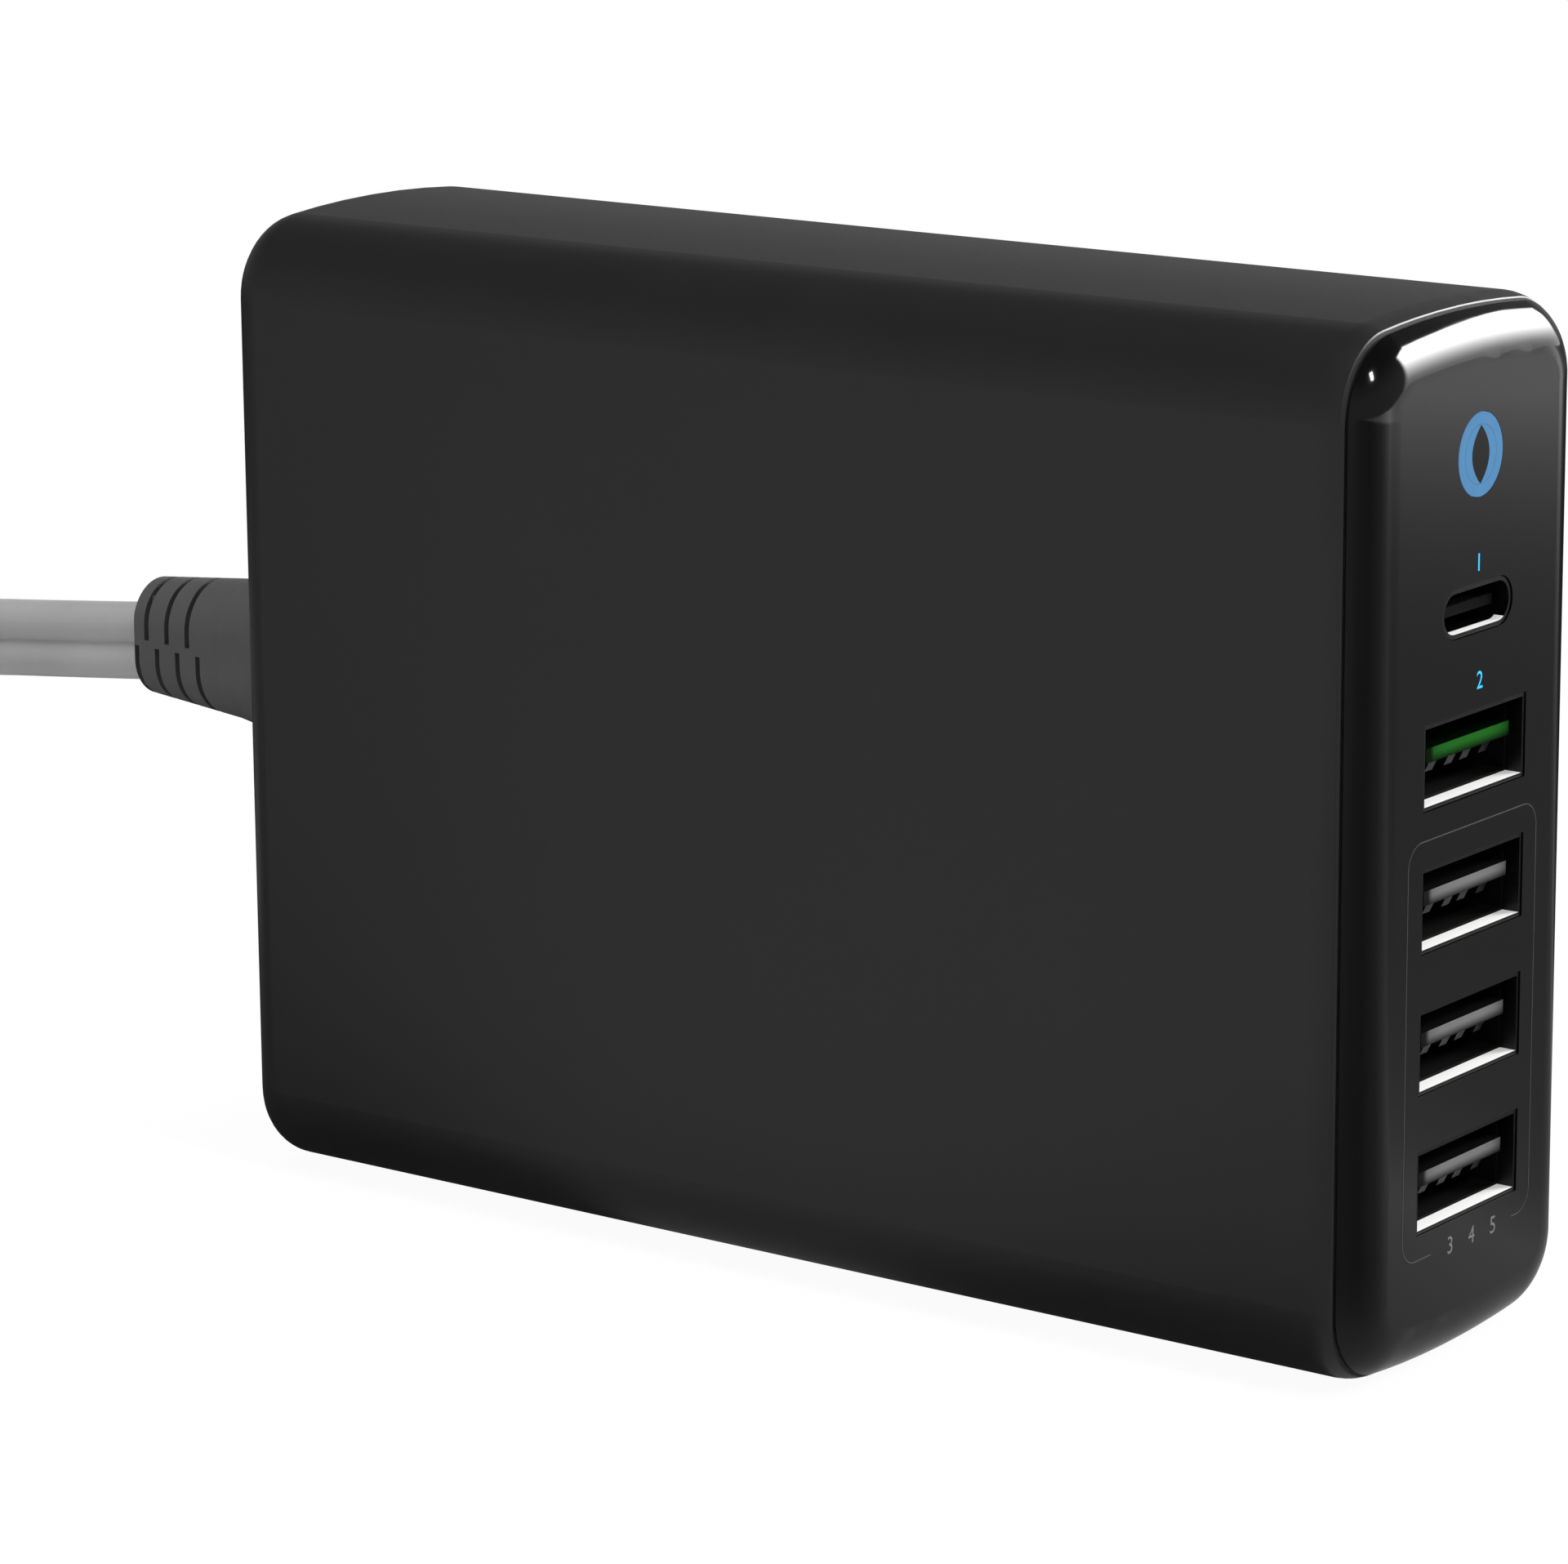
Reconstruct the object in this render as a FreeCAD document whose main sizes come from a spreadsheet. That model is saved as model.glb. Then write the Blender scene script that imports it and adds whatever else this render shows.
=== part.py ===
import FreeCAD, Part
import math
import operator
import os
from types import SimpleNamespace

import Sketcher
from FreeCAD import Placement, Rotation, Vector

# Desktop charger that stands on a narrow crowned side, with its ports on the +X face and a mains cord at
# the back. Millimetres, +Z up, origin under the middle of the casing on the surface it stands on.
SIZES = {
    # casing
    "length": 98.3,
    "thickness": 28.5,
    "height": 73.0,
    "crown_radius": 93.0,
    "corner_radius": 6.0,
    "front_round": 4.0,
    "rear_round": 2.8,
    "wall": 2.0,
    "rear_wall": 2.4,
    "panel_depth": 2.1,
    "seam_gap": 0.1,
    "seam_break": 0.2,
    "skirt_length": 4.0,
    "skirt_wall": 1.0,
    "skirt_clearance": 0.15,
    # stack of ports and the light above them, whose middle lies a little above the casing's
    "stack_shift": 1.7,
    "port_pitch": 9.79,
    "c_port_rise": 9.85,
    "ring_rise": 10.38,
    # round status light
    "ring_diameter": 5.7,
    "ring_bore": 4.0,
    "ring_fit": 0.05,
    "ring_plug_length": 3.0,
    "led_side": 3.2,
    "led_height": 1.4,
    "led_gap": 0.3,
    # wide ports
    "a_shell_width": 13.2,
    "a_shell_height": 5.8,
    "a_shell_depth": 14.0,
    "a_shell_sheet": 0.25,
    "a_liner_sheet": 0.2,
    "a_lip_depth": 1.25,
    "a_tongue_width": 10.8,
    "a_tongue_thickness": 1.0,
    "a_tongue_rise": 0.6,
    "a_tongue_setback": 0.5,
    "a_base_depth": 3.0,
    "a_contact_width": 1.0,
    "a_contact_sheet": 0.25,
    "a_contact_outer": 3.5,
    "a_contact_inner": 1.0,
    "a_contact_setback": 0.6,
    "a_contact_bow": 0.7,
    # small port
    "c_shell_width": 9.05,
    "c_shell_height": 3.35,
    "c_shell_sheet": 0.3,
    "c_tongue_width": 6.7,
    "c_tongue_thickness": 0.7,
    "c_tongue_setback": 0.8,
    "c_base_depth": 5.0,
    "c_contact_pitch": 0.5,
    "c_contact_width": 0.25,
    "c_contact_sheet": 0.06,
    "port_fit": 0.05,
    "shell_setback": 0.1,
    # boards
    "board_thickness": 1.6,
    "board_edge_gap": 3.0,
    "board_end_gap": 1.0,
    "port_board_gap": 1.2,
    "rail_height": 1.0,
    "rail_width": 3.0,
    "rail_inset": 8.0,
    "sheet_thickness": 0.4,
    "sheet_gap": 0.5,
    # mains inlet
    "inlet_length": 16.4,
    "inlet_height": 7.8,
    "inlet_rim": 1.2,
    "inlet_fit": 0.1,
    "inlet_flange": 1.5,
    "inlet_flange_rim": 1.6,
    "inlet_recess": 10.5,
    "inlet_back": 2.5,
    "pin_diameter": 2.4,
    "pin_spacing": 8.6,
    "pin_setback": 2.0,
    "pin_fit": 0.03,
    "pin_tail": 1.5,
    # parts on the main board
    "part_gap": 0.15,
    "part_inset": 1.5,
    "x_capacitor_length": 12.0,
    "x_capacitor_width": 13.0,
    "x_capacitor_height": 12.0,
    "fuse_diameter": 8.5,
    "fuse_height": 8.0,
    "choke_diameter": 13.0,
    "choke_bore": 6.0,
    "choke_height": 5.0,
    "choke_winding": 1.0,
    "choke_sweep": 120.0,
    "choke_place": 23.5,
    "bridge_place": 17.0,
    "bridge_thickness": 3.5,
    "bridge_width": 13.0,
    "bridge_height": 11.0,
    "bulk_diameter": 12.0,
    "bulk_length": 25.0,
    "bulk_place": 23.0,
    "bulk_lead": 0.8,
    "bulk_lead_spacing": 5.0,
    "bulk_lead_reach": 2.0,
    "transformer_place": 32.0,
    "transformer_side": 24.0,
    "core_height": 8.0,
    "core_limb": 4.0,
    "core_middle": 7.0,
    "bobbin_wall": 0.8,
    "winding_thickness": 3.4,
    "heatsink_gap": 2.0,
    "heatsink_thickness": 1.5,
    "heatsink_width": 22.0,
    "heatsink_height": 14.5,
    "switch_width": 10.2,
    "switch_thickness": 4.5,
    "switch_height": 13.0,
    "output_diameter": 8.0,
    "output_height": 12.0,
    "output_place": 53.5,
    # cord connector
    "nose_fit": 0.25,
    "nose_length": 9.5,
    "shoulder_gap": 0.4,
    "grip_flare": 1.8,
    "grip_length": 10.5,
    "grip_height": 11.0,
    "grip_width": 8.2,
    "relief_length": 10.8,
    "relief_taper": 1.0,
    "relief_round": 1.3,
    "relief_slot": 0.5,
    "relief_pitch": 2.3,
    "relief_core_height": 7.2,
    "relief_core_width": 4.6,
    "relief_web": 0.5,
    "sleeve_wall": 0.5,
    "sleeve_length": 8.0,
    "sleeve_fit": 0.05,
    # flat cord and its hank
    "cord_width": 6.2,
    "cord_thickness": 3.4,
    "coil_run": 56.0,
    "coil_width": 52.4,
    "coil_build": 11.4,
    "coil_height": 12.8,
    "coil_lift": 0.6,
    "tie_width": 6.0,
    "tie_clearance": 0.4,
    # mains plug
    "plug_width": 25.0,
    "plug_height": 15.4,
    "plug_head_length": 9.0,
    "plug_head_draft": 0.5,
    "plug_slope_length": 12.0,
    "plug_slope": 3.2,
    "plug_neck_length": 9.0,
    "plug_neck_width": 10.5,
    "plug_neck_height": 7.4,
    "plug_neck_taper": 0.6,
    "plug_round": 1.2,
    "plug_bevel": 3.0,
    "neck_bevel": 1.6,
    "blade_length": 17.0,
    "blade_width": 6.35,
    "blade_thickness": 1.5,
    "blade_spacing": 12.7,
    "blade_hole": 3.2,
    "blade_hole_setback": 4.5,
}

A_PORTS = 4
C_CONTACTS = 12
UPPER_SLOTS = 3
LOWER_SLOTS = 4
CHOKE_TURNS = (30, 210)
ARC_SHARE = 0.45

OPERATIONS = {"+": operator.add, "-": operator.sub, "*": operator.mul, "/": operator.truediv}


class Size:
    """A number together with the sheet formula that gives it."""

    def __init__(self, number, formula):
        self.number = number
        self.formula = formula

    def __add__(self, other):
        return combine(self, "+", other)

    def __radd__(self, other):
        return combine(other, "+", self)

    def __sub__(self, other):
        return combine(self, "-", other)

    def __rsub__(self, other):
        return combine(other, "-", self)

    def __mul__(self, other):
        return combine(self, "*", other)

    def __rmul__(self, other):
        return combine(other, "*", self)

    def __truediv__(self, other):
        return combine(self, "/", other)

    def __neg__(self):
        return combine(0, "-", self)


def as_size(value):
    """A plain number as a constant size, a size as it is."""
    if isinstance(value, Size):
        return value
    return Size(float(value), repr(float(value)))


def combine(left, sign, right):
    """The size that an arithmetic sign makes of two others."""
    first = as_size(left)
    second = as_size(right)
    number = OPERATIONS[sign](first.number, second.number)
    return Size(number, f"({first.formula} {sign} {second.formula})")


doc = FreeCAD.newDocument("UsbCharger")
sheet = doc.addObject("Spreadsheet::Sheet", "Sizes")
for row, (alias, amount) in enumerate(SIZES.items(), 1):
    sheet.set(f"A{row}", alias)
    sheet.set(f"B{row}", str(amount))
    sheet.setAlias(f"B{row}", alias)
doc.recompute()
s = SimpleNamespace(**{alias: Size(float(sheet.get(alias)), f"Sizes.{alias}") for alias in SIZES})
nodes = []


def node(item, label):
    """Count an object as one piece of the charger, under its own label."""
    item.Label = label
    nodes.append(item)
    return item


def bind(item, path, value):
    """Tie one property of an object to the sheet."""
    item.setExpression(path, as_size(value).formula)


def place(item, x=0, y=0, z=0):
    """Tie where an object stands to the sheet."""
    for axis, value in zip("xyz", (x, y, z)):
        bind(item, f"Placement.Base.{axis}", value)


# Sketches: each is drawn about its own middle and shifted on its plane.

def sketch_on(body, role, shift):
    """An empty sketch on one origin plane of a body, shifted along its own x, y and normal."""
    sketch = body.newObject("Sketcher::SketchObject", f"{body.Name}_sketch")
    plane = next(item for item in body.Origin.OriginFeatures if item.Role == role)
    sketch.AttachmentSupport = [(plane, "")]
    sketch.MapMode = "FlatFace"
    for axis, value in zip("xyz", shift):
        bind(sketch, f"AttachmentOffset.Base.{axis}", value)
    return sketch


def tie(sketch, kind, *where, value=None):
    """Add one constraint, driven by the sheet where it has a value."""
    if value is None:
        sketch.addConstraint(Sketcher.Constraint(kind, *where))
        return
    index = sketch.addConstraint(Sketcher.Constraint(kind, *where, as_size(value).number))
    sketch.setExpression(f"Constraints[{index}]", as_size(value).formula)


def rectangle(sketch, width, height):
    """A rectangle about the sketch's origin."""
    u = as_size(width).number / 2
    v = as_size(height).number / 2
    corners = [Vector(-u, -v), Vector(u, -v), Vector(u, v), Vector(-u, v)]
    for start, end in zip(corners, corners[1:] + corners[:1]):
        sketch.addGeometry(Part.LineSegment(start, end))
    for side in range(4):
        tie(sketch, "Coincident", side, 2, (side + 1) % 4, 1)
        tie(sketch, "Vertical" if side % 2 else "Horizontal", side)
    tie(sketch, "Symmetric", 0, 1, 2, 1, -1, 1)
    tie(sketch, "DistanceX", 0, 1, 0, 2, value=width)
    tie(sketch, "DistanceY", 1, 1, 1, 2, value=height)


def oblong(sketch, width, height):
    """A flat-sided oblong about the sketch's origin, round at the ends of its longer side."""
    upright = as_size(height).number > as_size(width).number
    span, depth = (height, width) if upright else (width, height)
    reach = (as_size(span).number - as_size(depth).number) / 2
    radius = as_size(depth).number / 2
    turn = math.pi / 2 if upright else 0.0
    quarter = math.pi / 2

    def at(u, v):
        return Vector(u * math.cos(turn) - v * math.sin(turn), u * math.sin(turn) + v * math.cos(turn))

    def end_arc(u, first):
        circle = Part.Circle(at(u, 0), Vector(0, 0, 1), radius)
        return Part.ArcOfCircle(circle, first + turn, first + turn + math.pi)

    sketch.addGeometry(Part.LineSegment(at(-reach, -radius), at(reach, -radius)))
    sketch.addGeometry(end_arc(reach, -quarter))
    sketch.addGeometry(Part.LineSegment(at(reach, radius), at(-reach, radius)))
    sketch.addGeometry(end_arc(-reach, quarter))
    for side in range(4):
        tie(sketch, "Tangent", side, 2, (side + 1) % 4, 1)
    tie(sketch, "Vertical" if upright else "Horizontal", 0)
    tie(sketch, "Equal", 1, 3)
    tie(sketch, "Symmetric", 1, 3, 3, 3, -1, 1)
    tie(sketch, "Radius", 1, value=depth / 2)
    tie(sketch, "DistanceY" if upright else "DistanceX", 3, 3, 1, 3, value=span - depth)


def bevelled(sketch, width, height, bevel):
    """A rectangle about the sketch's origin with its four corners cut off."""
    u = as_size(width).number / 2
    v = as_size(height).number / 2
    b = as_size(bevel).number
    half = [Vector(b - u, -v), Vector(u - b, -v), Vector(u, b - v), Vector(u, v - b)]
    corners = half + [-corner for corner in half]
    for start, end in zip(corners, corners[1:] + corners[:1]):
        sketch.addGeometry(Part.LineSegment(start, end))
    for side in range(8):
        tie(sketch, "Coincident", side, 2, (side + 1) % 8, 1)
    for side in range(4):
        tie(sketch, "Symmetric", side, 1, side + 4, 1, -1, 1)
    tie(sketch, "Symmetric", 0, 1, 0, 2, -2)
    tie(sketch, "Symmetric", 2, 1, 2, 2, -1)
    tie(sketch, "DistanceX", 0, 1, 0, 2, value=width - 2 * bevel)
    tie(sketch, "DistanceX", 6, 1, 2, 1, value=width)
    tie(sketch, "DistanceY", 2, 1, 2, 2, value=height - 2 * bevel)
    tie(sketch, "DistanceY", 0, 1, 4, 1, value=height)


def disc(sketch, diameter):
    """A circle about the sketch's origin."""
    sketch.addGeometry(Part.Circle(Vector(), Vector(0, 0, 1), as_size(diameter).number / 2))
    tie(sketch, "Coincident", 0, 3, -1, 1)
    tie(sketch, "Diameter", 0, value=diameter)


def crowned(sketch, inset):
    """The casing's section, straight at the sides and arched above and below, moved in by an inset."""
    across = s.thickness - 2 * inset
    tall = s.height - 2 * inset
    radius = s.crown_radius - inset
    u = across.number / 2
    sink = tall.number / 2 - radius.number
    v = sink + math.sqrt(radius.number ** 2 - u ** 2)
    angle = math.atan2(v - sink, u)
    up = Part.Circle(Vector(0, sink), Vector(0, 0, 1), radius.number)
    down = Part.Circle(Vector(0, -sink), Vector(0, 0, 1), radius.number)
    sketch.addGeometry(Part.LineSegment(Vector(u, -v), Vector(u, v)))
    sketch.addGeometry(Part.ArcOfCircle(up, angle, math.pi - angle))
    sketch.addGeometry(Part.LineSegment(Vector(-u, v), Vector(-u, -v)))
    sketch.addGeometry(Part.ArcOfCircle(down, math.pi + angle, 2 * math.pi - angle))
    for side in range(4):
        tie(sketch, "Coincident", side, 2, (side + 1) % 4, 1)
    tie(sketch, "Vertical", 0)
    tie(sketch, "Vertical", 2)
    tie(sketch, "Symmetric", 0, 2, 2, 1, -2)
    tie(sketch, "Symmetric", 1, 3, 3, 3, -1, 1)
    tie(sketch, "Equal", 1, 3)
    tie(sketch, "Radius", 1, value=radius)
    tie(sketch, "DistanceX", 2, 1, 0, 2, value=across)
    tie(sketch, "DistanceY", 1, 3, -1, 1, value=radius - tall / 2)


# Features of a body

def new_body(label):
    return doc.addObject("PartDesign::Body", label)


def grow(body, sketch, depth, forward=True):
    """Pad a sketch along its normal, or against it."""
    made = body.newObject("PartDesign::Pad", f"{body.Name}_pad")
    made.Profile = sketch
    made.Reversed = not forward
    bind(made, "Length", depth)
    doc.recompute()
    return made


def slope(rise, run):
    """The angle of a straight taper, in degrees."""
    ratio = as_size(rise) / run
    return Size(math.degrees(math.atan(ratio.number)), f"atan({ratio.formula})")


def grow_tapered(body, sketch, depth, widening, forward=True):
    """Pad a sketch so that each side moves out by a given amount over the depth."""
    made = grow(body, sketch, depth, forward)
    bind(made, "TaperAngle", slope(widening, depth))
    doc.recompute()
    return made


def carve(body, sketch, depth, forward=True):
    """Pocket a sketch along its normal, or against it, and see that something came off."""
    before = body.Tip.Shape.Volume
    made = body.newObject("PartDesign::Pocket", f"{body.Name}_pocket")
    made.Profile = sketch
    made.Reversed = forward
    bind(made, "Length", depth)
    doc.recompute()
    if made.Shape.Volume >= before:
        raise RuntimeError(f"{made.Name} cuts nothing")
    return made


def dress(body, kind, edges, size):
    """Fillet or chamfer the given edges of a body's last feature."""
    shape = body.Tip.Shape
    names = [f"Edge{i}" for i, edge in enumerate(shape.Edges, 1) if any(edge.isSame(e) for e in edges)]
    made = body.newObject(f"PartDesign::{kind}", f"{body.Name}_{kind.lower()}")
    made.Base = (shape_owner(made, body), names)
    bind(made, "Radius" if kind == "Fillet" else "Size", size)
    doc.recompute()
    return made


def shape_owner(made, body):
    """The feature that a new one of the same body works on."""
    return made.BaseFeature or body.Tip


def edges_along_x(shape, limit):
    """Straight edges along X that lie within a distance of the casing's middle plane."""
    found = []
    for edge in shape.Edges:
        if edge.Curve.TypeId != "Part::GeomLine":
            continue
        if abs(edge.tangentAt(edge.FirstParameter).x) > 0.999 and abs(edge.CenterOfMass.y) < limit:
            found.append(edge)
    return found


def end_face(shape, sign):
    """The flat end face that lies furthest along X, or furthest back."""
    return max(shape.Faces, key=lambda face: sign * face.CenterOfMass.x)


# Part primitives

def block(label, x, y, z):
    """A box between two bounds on each axis."""
    made = doc.addObject("Part::Box", label)
    for side, (low, high) in zip(("Length", "Width", "Height"), (x, y, z)):
        bind(made, side, as_size(high) - low)
    place(made, x[0], y[0], z[0])
    return made


TURNS = {
    "x": Rotation(Vector(0, 1, 0), 90),
    "y": Rotation(Vector(1, 0, 0), -90),
    "z": Rotation(),
}


def rod(label, axis, start, length, diameter, sweep=360):
    """A cylinder from a start point along an axis, whole or a sector of it."""
    made = doc.addObject("Part::Cylinder", label)
    made.Placement = Placement(Vector(), TURNS[axis])
    bind(made, "Angle", sweep)
    bind(made, "Radius", as_size(diameter) / 2)
    bind(made, "Height", length)
    place(made, *start)
    return made


def crest(label, at, width, reach):
    """A ridge across Y under a level, flat along its lowest part and sloping up at both ends."""
    made = doc.addObject("Part::Wedge", label)
    made.Placement = Placement(Vector(), TURNS["y"])
    bounds = {
        "Xmin": 0,
        "Xmax": 2 * reach,
        "X2min": reach / 2,
        "X2max": 3 * reach / 2,
        "Ymin": 0,
        "Ymax": reach,
        "Zmin": 0,
        "Zmax": width,
        "Z2min": 0,
        "Z2max": width,
    }
    for side, value in bounds.items():
        bind(made, side, value)
    place(made, at[0], at[1] - width / 2, at[2])
    return made


def minus(label, base, tool):
    made = doc.addObject("Part::Cut", label)
    made.Base = base
    made.Tool = tool
    return made


def joined(label, *items):
    made = doc.addObject("Part::MultiFuse", label)
    made.Shapes = list(items)
    return made


def grouped(label, items):
    made = doc.addObject("Part::Compound", label)
    made.Links = list(items)
    return made


# Shared places

middle_z = s.height / 2
stack = (A_PORTS - 1) * s.port_pitch + s.c_port_rise + s.ring_rise
first_port_z = middle_z + s.stack_shift - stack / 2
front_x = s.length / 2
rear_x = -s.length / 2
seam_x = front_x - s.panel_depth
mouth_x = seam_x - s.seam_gap
cavity_rear_x = rear_x + s.rear_wall
cavity_half = s.thickness / 2 - s.wall
cavity_low_z = as_size(0) + s.wall
shell_front_x = front_x - s.shell_setback
port_board_x = shell_front_x - s.a_shell_depth
port_board_back_x = port_board_x - s.board_thickness
board_back_y = cavity_half - s.rail_height
board_y = board_back_y - s.board_thickness
board_rear_x = cavity_rear_x + s.board_end_gap
board_low_z = cavity_low_z + s.board_edge_gap
board_high_z = s.height - board_low_z
a_port_z = [first_port_z + step * s.port_pitch for step in range(A_PORTS)]
c_port_z = a_port_z[-1] + s.c_port_rise
ring_z = c_port_z + s.ring_rise


def standing(distance):
    """The y bounds of something that stands on the main board to a given height."""
    return (board_y - distance, board_y)


# Casing

def casing_block(label):
    """The outside of the whole charger, before it is parted at the seam."""
    body = new_body(label)
    section = sketch_on(body, "YZ_Plane", (0, middle_z, rear_x))
    crowned(section, as_size(0))
    grow(body, section, s.length)
    dress(body, "Fillet", edges_along_x(body.Tip.Shape, s.thickness.number), s.corner_radius)
    dress(body, "Fillet", end_face(body.Tip.Shape, 1).Edges, s.front_round)
    dress(body, "Fillet", end_face(body.Tip.Shape, -1).Edges, s.rear_round)
    return body


def cut_off(body, x, forward):
    """Remove all of a body on one side of a plane across X."""
    outline = sketch_on(body, "YZ_Plane", (0, middle_z, x))
    rectangle(outline, 2 * s.thickness, 2 * s.height)
    carve(body, outline, s.length, forward)


def hollow(body, x, inset, depth, round_size):
    """Sink the casing's section, moved in by an inset, back from a plane across X."""
    section = sketch_on(body, "YZ_Plane", (0, middle_z, x))
    crowned(section, inset)
    carve(body, section, depth, False)
    limit = s.thickness.number / 2 - inset.number + 0.01
    inner = [edge for edge in edges_along_x(body.Tip.Shape, limit) if abs(edge.CenterOfMass.y) > limit - 0.02]
    dress(body, "Fillet", inner, round_size)


def make_housing():
    body = casing_block("housing")
    cut_off(body, mouth_x, True)
    dress(body, "Chamfer", end_face(body.Tip.Shape, 1).OuterWire.Edges, s.seam_break)
    hollow(body, mouth_x, s.wall, mouth_x - cavity_rear_x, s.corner_radius - s.wall)
    for sign in (-1, 1):
        rail_z = middle_z + sign * (middle_z - s.wall - s.rail_inset)
        rail = sketch_on(body, "YZ_Plane", (cavity_half - s.rail_height / 2 + s.wall / 4, rail_z, cavity_rear_x))
        rectangle(rail, s.rail_height + s.wall / 2, s.rail_width)
        grow(body, rail, mouth_x - cavity_rear_x - 2 * s.skirt_length)
    opening = sketch_on(body, "YZ_Plane", (0, middle_z, rear_x))
    rim = 2 * (s.inlet_rim + s.inlet_fit)
    oblong(opening, s.inlet_height + rim, s.inlet_length + rim)
    carve(body, opening, s.rear_wall)
    node(body, "housing")


def make_front_panel():
    body = casing_block("front_panel")
    cut_off(body, seam_x, False)
    dress(body, "Chamfer", end_face(body.Tip.Shape, -1).OuterWire.Edges, s.seam_break)
    inset = s.wall + s.skirt_clearance
    skirt = sketch_on(body, "YZ_Plane", (0, middle_z, seam_x))
    crowned(skirt, inset)
    grow(body, skirt, s.skirt_length, False)
    limit = s.thickness.number / 2 - inset.number + 0.01
    dress(body, "Fillet", edges_along_x(body.Tip.Shape, limit), s.corner_radius - inset)
    inner = inset + s.skirt_wall
    back = seam_x - s.skirt_length
    hole = sketch_on(body, "YZ_Plane", (0, middle_z, back))
    crowned(hole, inner)
    carve(body, hole, s.skirt_length)
    for z in a_port_z:
        port = sketch_on(body, "YZ_Plane", (0, z, seam_x))
        rectangle(port, s.a_shell_width + 2 * s.port_fit, s.a_shell_height + 2 * s.port_fit)
        carve(body, port, s.panel_depth)
    port = sketch_on(body, "YZ_Plane", (0, c_port_z, seam_x))
    oblong(port, s.c_shell_width + 2 * s.port_fit, s.c_shell_height + 2 * s.port_fit)
    carve(body, port, s.panel_depth)
    light = sketch_on(body, "YZ_Plane", (0, ring_z, seam_x))
    disc(light, s.ring_diameter + 2 * s.ring_fit)
    carve(body, light, s.panel_depth)
    node(body, "front_panel")


def make_status_light():
    led_front = port_board_x + s.led_height
    start = (led_front + s.led_gap, 0, ring_z)
    reach = front_x - start[0]
    tube = rod("guide_outside", "x", start, reach, s.ring_diameter)
    bore = rod("guide_bore", "x", start, reach, s.ring_bore + 2 * s.ring_fit)
    node(minus("guide", tube, bore), "ring_guide")
    plug_start = (front_x - s.ring_plug_length, 0, ring_z)
    node(rod("disc", "x", plug_start, s.ring_plug_length, s.ring_bore), "ring_plug")
    half = s.led_side / 2
    led = block("led", (port_board_x, led_front), (-half, half), (ring_z - half, ring_z + half))
    node(led, "status_led")


# Ports

def around(middle, span):
    """Bounds that lie evenly about a middle."""
    return (middle - span / 2, middle + span / 2)


def sleeve(label, x, width, tall, z, sheet_size):
    """A box-shaped tube along X with a wall of even thickness."""
    outside = block(f"{label}_outside", x, around(as_size(0), width), around(z, tall))
    inside = block(
        f"{label}_inside", x, around(as_size(0), width - 2 * sheet_size), around(z, tall - 2 * sheet_size)
    )
    return minus(label, outside, inside)


def make_a_port(number, z):
    """One wide port: metal shell, insulating sleeve, tongue on its base and four spring contacts."""
    inner_width = s.a_shell_width - 2 * s.a_shell_sheet
    inner_height = s.a_shell_height - 2 * s.a_shell_sheet
    depth = (port_board_x, shell_front_x)
    shell = sleeve(f"shell_{number}", depth, s.a_shell_width, s.a_shell_height, z, s.a_shell_sheet)
    node(shell, f"usb_a_shell_{number}")
    lined = (port_board_x, shell_front_x - s.a_lip_depth)
    liner = sleeve(f"liner_{number}", lined, inner_width, inner_height, z, s.a_liner_sheet)
    node(liner, f"usb_a_liner_{number}")
    base_x = port_board_x + s.a_base_depth
    tongue_z = around(z + s.a_tongue_rise, s.a_tongue_thickness)
    tongue_front = shell_front_x - s.a_tongue_setback
    base = block(
        f"base_{number}",
        (port_board_x, base_x),
        around(as_size(0), inner_width - 2 * s.a_liner_sheet),
        around(z, inner_height - 2 * s.a_liner_sheet),
    )
    blade = block(f"blade_{number}", (base_x, tongue_front), around(as_size(0), s.a_tongue_width), tongue_z)
    node(joined(f"tongue_{number}", base, blade), f"usb_a_tongue_{number}")
    springs = []
    for step, side in enumerate((-s.a_contact_outer, -s.a_contact_inner, s.a_contact_inner, s.a_contact_outer)):
        end = tongue_front - s.a_contact_setback
        under = (tongue_z[0] - s.a_contact_sheet, tongue_z[0])
        strip = block(f"strip_{number}_{step}", (base_x, end), around(side, s.a_contact_width), under)
        crest_at = (end - 2 * s.a_contact_bow, side, under[0])
        bow = crest(f"bow_{number}_{step}", crest_at, s.a_contact_width, s.a_contact_bow)
        springs.append(joined(f"spring_{number}_{step}", strip, bow))
    node(grouped(f"contacts_{number}", springs), f"usb_a_contacts_{number}")


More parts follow.
